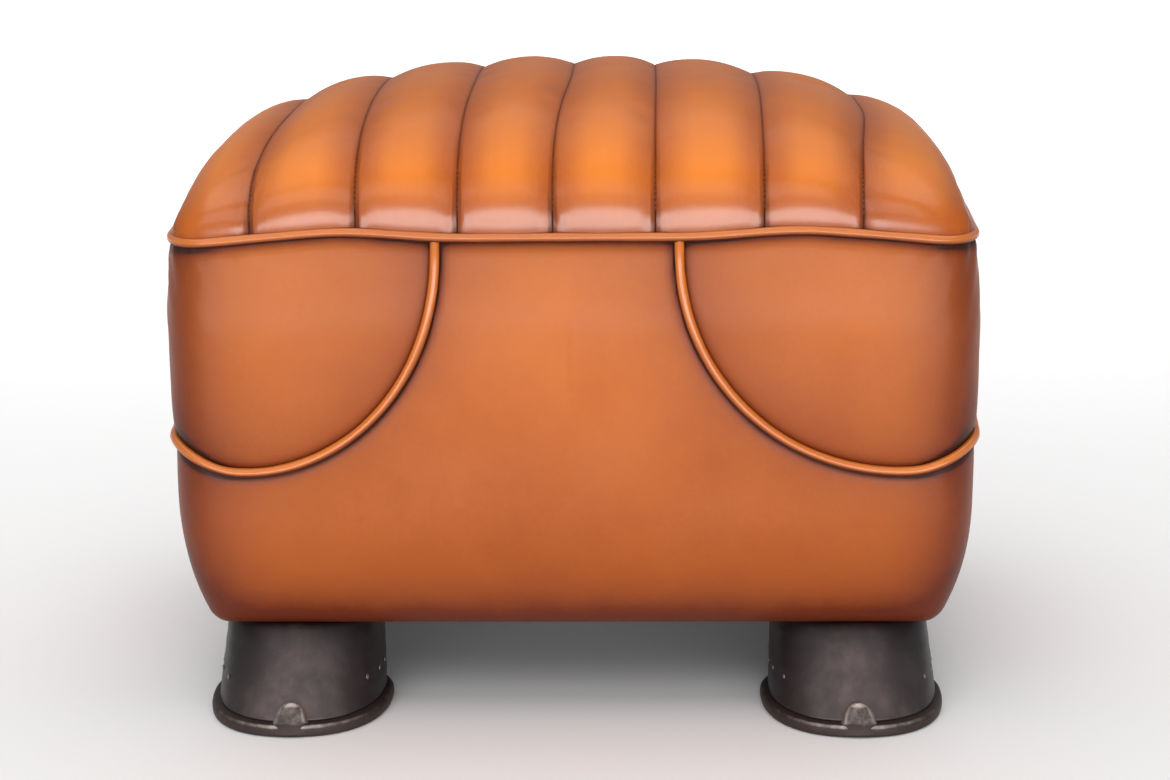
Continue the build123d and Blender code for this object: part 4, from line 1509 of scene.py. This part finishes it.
def make_base_cloth(material, steel_wire):
    """The black cloth under the base, a little slack between its staples, and the staples."""
    low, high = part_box("base_cloth")
    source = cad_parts["base_cloth"]
    work = bmesh.new()
    work.from_mesh(source.data)
    work.transform(source.matrix_world)
    bmesh.ops.remove_doubles(work, verts=work.verts, dist=1e-5)
    work.normal_update()
    area = sum(face.calc_area() for face in work.faces if face.normal.z > 0.9)
    sag, ripple_height = 0.0028, 0.0005
    for axis, count in ((0, 44), (1, 28)):
        normal = Vector((axis == 0, axis == 1, 0))
        for k in range(1, count):
            everything = work.verts[:] + work.edges[:] + work.faces[:]
            bmesh.ops.bisect_plane(work, geom=everything, dist=1e-6, plane_co=low.lerp(high, k / count),
                                   plane_no=normal)
    for vert in work.verts:
        x, y = vert.co.x / high.x, vert.co.y / high.y
        edge = max(abs(x), abs(y))
        ripple = 0.5 - 0.5 * math.cos(2 * math.pi * (vert.co.x if abs(y) > abs(x) else vert.co.y) / staple_pitch)
        vert.co.z -= sag * (1 - x * x) * (1 - y * y) + ripple_height * ripple * edge**6
    mesh = bpy.data.meshes.new("base_cloth_sheet")
    work.to_mesh(mesh)
    work.free()
    mesh.shade_smooth()
    cloth = add_object("base_cloth_sheet", mesh)
    finish_piece(cloth, material, "black_cloth", "base_cloth")
    staples = make_staples(low, high, steel_wire)


def make_staples(low, high, steel_wire):
    """The staples along the base cloth's edges, but none where the feet stand."""
    draw, inset, staple = np.random.default_rng(5), 0.006, (0.0105, 0.0011, 0.0009)
    foot_half_width, foot_front = 0.068, 0.08
    places, alongs, outs = [], [], []
    reach_x, reach_y = high.x - inset, high.y - inset
    for along, across, axis in ((reach_x, reach_y, 0), (reach_y, reach_x, 1)):
        for step in np.arange(-along + 0.012, along - 0.008, staple_pitch):
            for side in (-1, 1):
                x, y = (step, side * across) if axis == 0 else (side * across, step)
                if abs(abs(x) - sizes("foot").spread / 2) < foot_half_width and abs(y) > foot_front:
                    continue
                turn = draw.uniform(-0.2, 0.2) + axis * math.pi / 2
                places.append((x, y, low.z - 0.0001))
                alongs.append((math.cos(turn), math.sin(turn), 0))
                outs.append((0, 0, -1))
    return bars_on("cloth_staples", places, alongs, outs, staple, steel_wire, "nail_steel", 0.02)


# Width of the webbing
strap_width = 0.05


def strap_centres(low, high, count):
    """Middles of straps that lie side by side, an even pitch apart, between two places."""
    return np.linspace(low + strap_width / 2, high - strap_width / 2, count)


def strap_points(place, half_length, level, weave, others, along_x):
    """One strap's grid of places, rising over and dipping under the straps it crosses."""
    run = np.linspace(-half_length, half_length, 121)
    across = np.array([-1, -0.94, -0.5, 0, 0.5, 0.94, 1]) * strap_width / 2
    lift = sum(weave * (1 if (k % 2) else -1) * np.exp(-(((run - o) / 0.026) ** 4)) for k, o in enumerate(others))
    half_thickness, rim = 0.0006, 0.0245
    thin = np.where(np.abs(across) > rim, 0.5, 1.0) * half_thickness
    rows = []
    for side in (1, -1):
        z = level + lift[:, None] + side * thin[None, :]
        first, second = np.broadcast_arrays(run[:, None], place + across[None, :])
        rows.append(np.stack([first, second, z] if along_x else [second, first, z], -1))
    return rows


def make_straps(name, node, along_x, others_node, material, parity):
    """One layer of webbing, woven through the other."""
    low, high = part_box(node)
    other_low, other_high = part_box(others_node)
    if along_x:
        half, mine, others = high.x, strap_centres(low.y, high.y, 3), strap_centres(other_low.x, other_high.x, 6)
    else:
        half, mine, others = high.y, strap_centres(low.x, high.x, 6), strap_centres(other_low.y, other_high.y, 3)
    points, faces = [], []
    for k, place in enumerate(mine):
        weave = 0.0005 if (k + parity) % 2 else -0.0005
        top, bottom = strap_points(place, half, (low.z + high.z) / 2, weave, others, along_x)
        ring = np.concatenate([top, bottom[:, ::-1]], axis=1)
        faces += bar_faces(ring.shape[0], ring.shape[1], len(points))
        points.extend(ring.reshape(-1, 3))
    straps = new_piece(name, np.array(points), faces)
    outward(straps)
    finish_piece(straps, material, "webbing", node)


def make_foam(material):
    """The slab under the channels: soft edges, a little fuller in the middle."""
    low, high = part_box("seat_foam")
    across, along = np.linspace(-1, 1, 41), np.linspace(-1, 1, 29)
    u, v = np.meshgrid(across, along)
    soft = np.maximum(np.abs(u) ** 12, np.abs(v) ** 12)
    middle, half = (low.z + high.z) / 2, (high.z - low.z) / 2
    layers = []
    for side in (1, -1):
        shrink = 1 - 0.012 * soft
        thick = half * (1 - 0.35 * soft) - 0.0006 * (1 + side) * (u**2 + v**2) / 2
        layers.append(np.stack([u * high.x * shrink, v * high.y * shrink, middle + side * thick], -1))
    rows, columns = u.shape
    points = np.vstack([layers[0].reshape(-1, 3), layers[1].reshape(-1, 3)])
    faces = grid_faces(rows, columns) + grid_faces(rows, columns, start=rows * columns, flip=True)
    own = [r * columns + c for r, c in grid_border(rows, columns)]
    for k, here in enumerate(own):
        after = own[(k + 1) % len(own)]
        faces.append((after, here, here + rows * columns, after + rows * columns))
    slab = new_piece("foam_slab", points, faces)
    outward(slab)
    finish_piece(slab, material, "foam", "seat_foam")


# ---- operators


class STOOL_OT_seat(bpy.types.Operator):
    """Makes the eight stuffed channels of the seat"""

    bl_idname = "stool.seat"
    bl_label = "Channelled Seat"

    def execute(self, context):
        make_seat(leather("seat_leather", depth=0.0, gloss=0.02))
        return {"FINISHED"}


class STOOL_OT_body(bpy.types.Operator):
    """Makes the body's leather band and its four corner patches"""

    bl_idname = "stool.body"
    bl_label = "Body and Patches"

    def execute(self, context):
        material = leather("body_leather", depth=0.36)
        make_cover(material)
        for corner in corners:
            make_patch(corner, material)
        return {"FINISHED"}


class STOOL_OT_piping(bpy.types.Operator):
    """Makes the seat's piping and the piping of the four patches"""

    bl_idname = "stool.piping"
    bl_label = "Piping"

    def execute(self, context):
        material = leather("piping_leather", depth=0.12, gloss=0.03)
        loop = tube("seat_piping", seat_welt_path(), closed=True)
        add_masks(loop, 0.07, 0.65)
        finish_piece(loop, material, "welt_leather", "seat_welt")
        for corner in corners:
            make_corner_welt(corner, material)
        return {"FINISHED"}


class STOOL_OT_feet(bpy.types.Operator):
    """Makes the four hooves and their shoes"""

    bl_idname = "stool.feet"
    bl_label = "Hooves and Shoes"

    def execute(self, context):
        wall, shoe = horn("hoof_horn"), iron("shoe_iron")
        for corner in corners:
            make_hoof(corner, wall)
            make_shoe(corner, shoe)
        return {"FINISHED"}


class STOOL_OT_inside(bpy.types.Operator):
    """Gives the carcass, the fixings and the base cloth their finishes"""

    bl_idname = "stool.inside"
    bl_label = "Carcass and Fixings"

    def execute(self, context):
        deal = timber("sawn_deal", (0.55, 0.36, 0.18), (0.33, 0.19, 0.08), (0.15, 1, 1))
        ply = timber("plywood", (0.58, 0.42, 0.25), (0.36, 0.24, 0.12), (0.12, 1, 1))
        bright = steel("bright_steel", (0.62, 0.6, 0.57), 0.3)
        dark = steel("nail_steel", (0.30, 0.27, 0.25), 0.42)
        linen = thread("linen_thread")
        jute = woven("jute_webbing", (0.28, 0.19, 0.1), (0.55, 0.42, 0.26), 0.003)
        cloth = woven("black_cambric", (0.006, 0.006, 0.006), (0.03, 0.03, 0.032), 0.0012)
        foam = woven("slab_foam", (0.62, 0.55, 0.36), (0.75, 0.69, 0.5), 0.002)
        finishes = {"foot_studs": bright, "tee_nuts": bright, "horseshoe_nails": dark, "base_board": ply}
        for name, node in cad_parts.items():
            if name.endswith("_board") or name.startswith("corner_post"):
                finishes.setdefault(name, deal)
            if name in finishes:
                node.data.materials.clear()
                node.data.materials.append(finishes[name])
        make_straps("cross_straps", "cross_webbing", False, "long_webbing", jute, 0)
        make_straps("long_straps", "long_webbing", True, "cross_webbing", jute, 1)
        make_foam(foam)
        make_base_cloth(cloth, bright)
        make_clinches(dark)
        make_stitches(linen)
        return {"FINISHED"}


class STOOL_OT_stage(bpy.types.Operator):
    """Sets the floor, the lights and the camera"""

    bl_idname = "stool.stage"
    bl_label = "Stage"

    def execute(self, context):
        finish = Finish("studio_floor")
        finish.surface(Base_Color=finish.mix(finish.noise(3, 2, 0.5) * 0.04, sizes("finish").floor, (0.8, 0.8, 0.8)),
                       Roughness=0.6)
        reach = 16.0
        floor = new_piece("studio_floor", [(x, y, 0) for y in (-reach, reach) for x in (-reach, reach)],
                          [(0, 1, 3, 2)])
        floor.data.materials.append(finish.material)
        self.surround(context.scene)
        self.camera(context.scene)
        return {"FINISHED"}

    def surround(self, scene):
        """The white surround and the panel lights."""
        stage, world = sizes("stage"), bpy.data.worlds.new("studio_world")
        scene.world = world
        world.use_nodes = True
        world.node_tree.nodes["Background"].inputs["Color"].default_value = (1, 1, 1, 1)
        world.node_tree.nodes["Background"].inputs["Strength"].default_value = stage.sky
        self.light("key_light", (-0.45, -1.95, 1.9), (0, 0, 0.36), (3.0, 1.2), stage.key_power)
        self.light("strip_light", (0.1, -2.3, 0.28), (0, 0, 0.28), (3.5, 0.50), stage.strip_power)
        self.light("top_light", (0, 0.5, 3.1), (0, 0.5, 0), (4.4, 3.6), stage.top_power, 130)
        self.light("far_light", (0, 5.8, 3.2), (0, 5.8, 0), (9.0, 8.0), stage.far_power, 85)
        self.light("behind_light", (0, -8.6, 3.2), (0, -8.6, 0), (9.0, 8.0), stage.far_power, 85)

    def camera(self, scene):
        """The camera, aimed down, to the left and rolled as the settings say."""
        stage = sizes("stage")
        camera = bpy.data.cameras.new("camera")
        camera.lens = stage.lens
        camera.sensor_width = 36
        view = add_object("camera", camera)
        down, left, roll = stage.camera_down, stage.camera_left, stage.camera_roll
        ahead = Vector((-math.sin(left) * math.cos(down), math.cos(left) * math.cos(down), -math.sin(down)))
        right = Vector((math.cos(left), math.sin(left), 0))
        up = right.cross(ahead)
        turned_right = right * math.cos(roll) + up * math.sin(roll)
        turned_up = up * math.cos(roll) - right * math.sin(roll)
        turn = Matrix((turned_right, turned_up, -ahead)).transposed()
        view.matrix_world = Matrix.Translation(Vector(stage.camera_place)) @ turn.to_4x4()
        scene.camera = view
        scene.view_settings.view_transform = "Standard"

    def light(self, name, place, aim, size, power, spread=180):
        """A panel light that the camera doesn't see; its spread is in degrees."""
        lamp = bpy.data.lights.new(name, "AREA")
        lamp.shape = "RECTANGLE"
        lamp.spread = math.radians(spread)
        lamp.size, lamp.size_y = size
        lamp.energy = power
        holder = add_object(name, lamp)
        holder.location = place
        holder.visible_camera = False
        holder.rotation_euler = (Vector(aim) - Vector(place)).to_track_quat("-Z", "Y").to_euler()


class STOOL_PT_panel(bpy.types.Panel):
    """Lists the footstool's pieces"""

    bl_idname = "STOOL_PT_panel"
    bl_label = "Channelled Footstool"
    bl_space_type = "VIEW_3D"
    bl_region_type = "UI"
    bl_category = "Footstool"

    def draw(self, context):
        for operator in operators:
            self.layout.operator(operator.bl_idname)


operators = (STOOL_OT_body, STOOL_OT_seat, STOOL_OT_piping, STOOL_OT_feet, STOOL_OT_inside, STOOL_OT_stage)


def register():
    for group in settings_groups.values():
        bpy.utils.register_class(group)
    for name, group in settings_groups.items():
        setattr(bpy.types.Scene, name, bpy.props.PointerProperty(type=group))
    for operator in operators:
        bpy.utils.register_class(operator)
    bpy.utils.register_class(STOOL_PT_panel)


def unregister():
    bpy.utils.unregister_class(STOOL_PT_panel)
    for operator in reversed(operators):
        bpy.utils.unregister_class(operator)
    for name, group in settings_groups.items():
        delattr(bpy.types.Scene, name)
        bpy.utils.unregister_class(group)


def main():
    """Makes every piece in order."""
    register()
    bpy.ops.stool.body()
    bpy.ops.stool.seat()
    bpy.ops.stool.piping()
    bpy.ops.stool.feet()
    bpy.ops.stool.inside()
    bpy.ops.stool.stage()


if __name__ == "__main__":
    main()
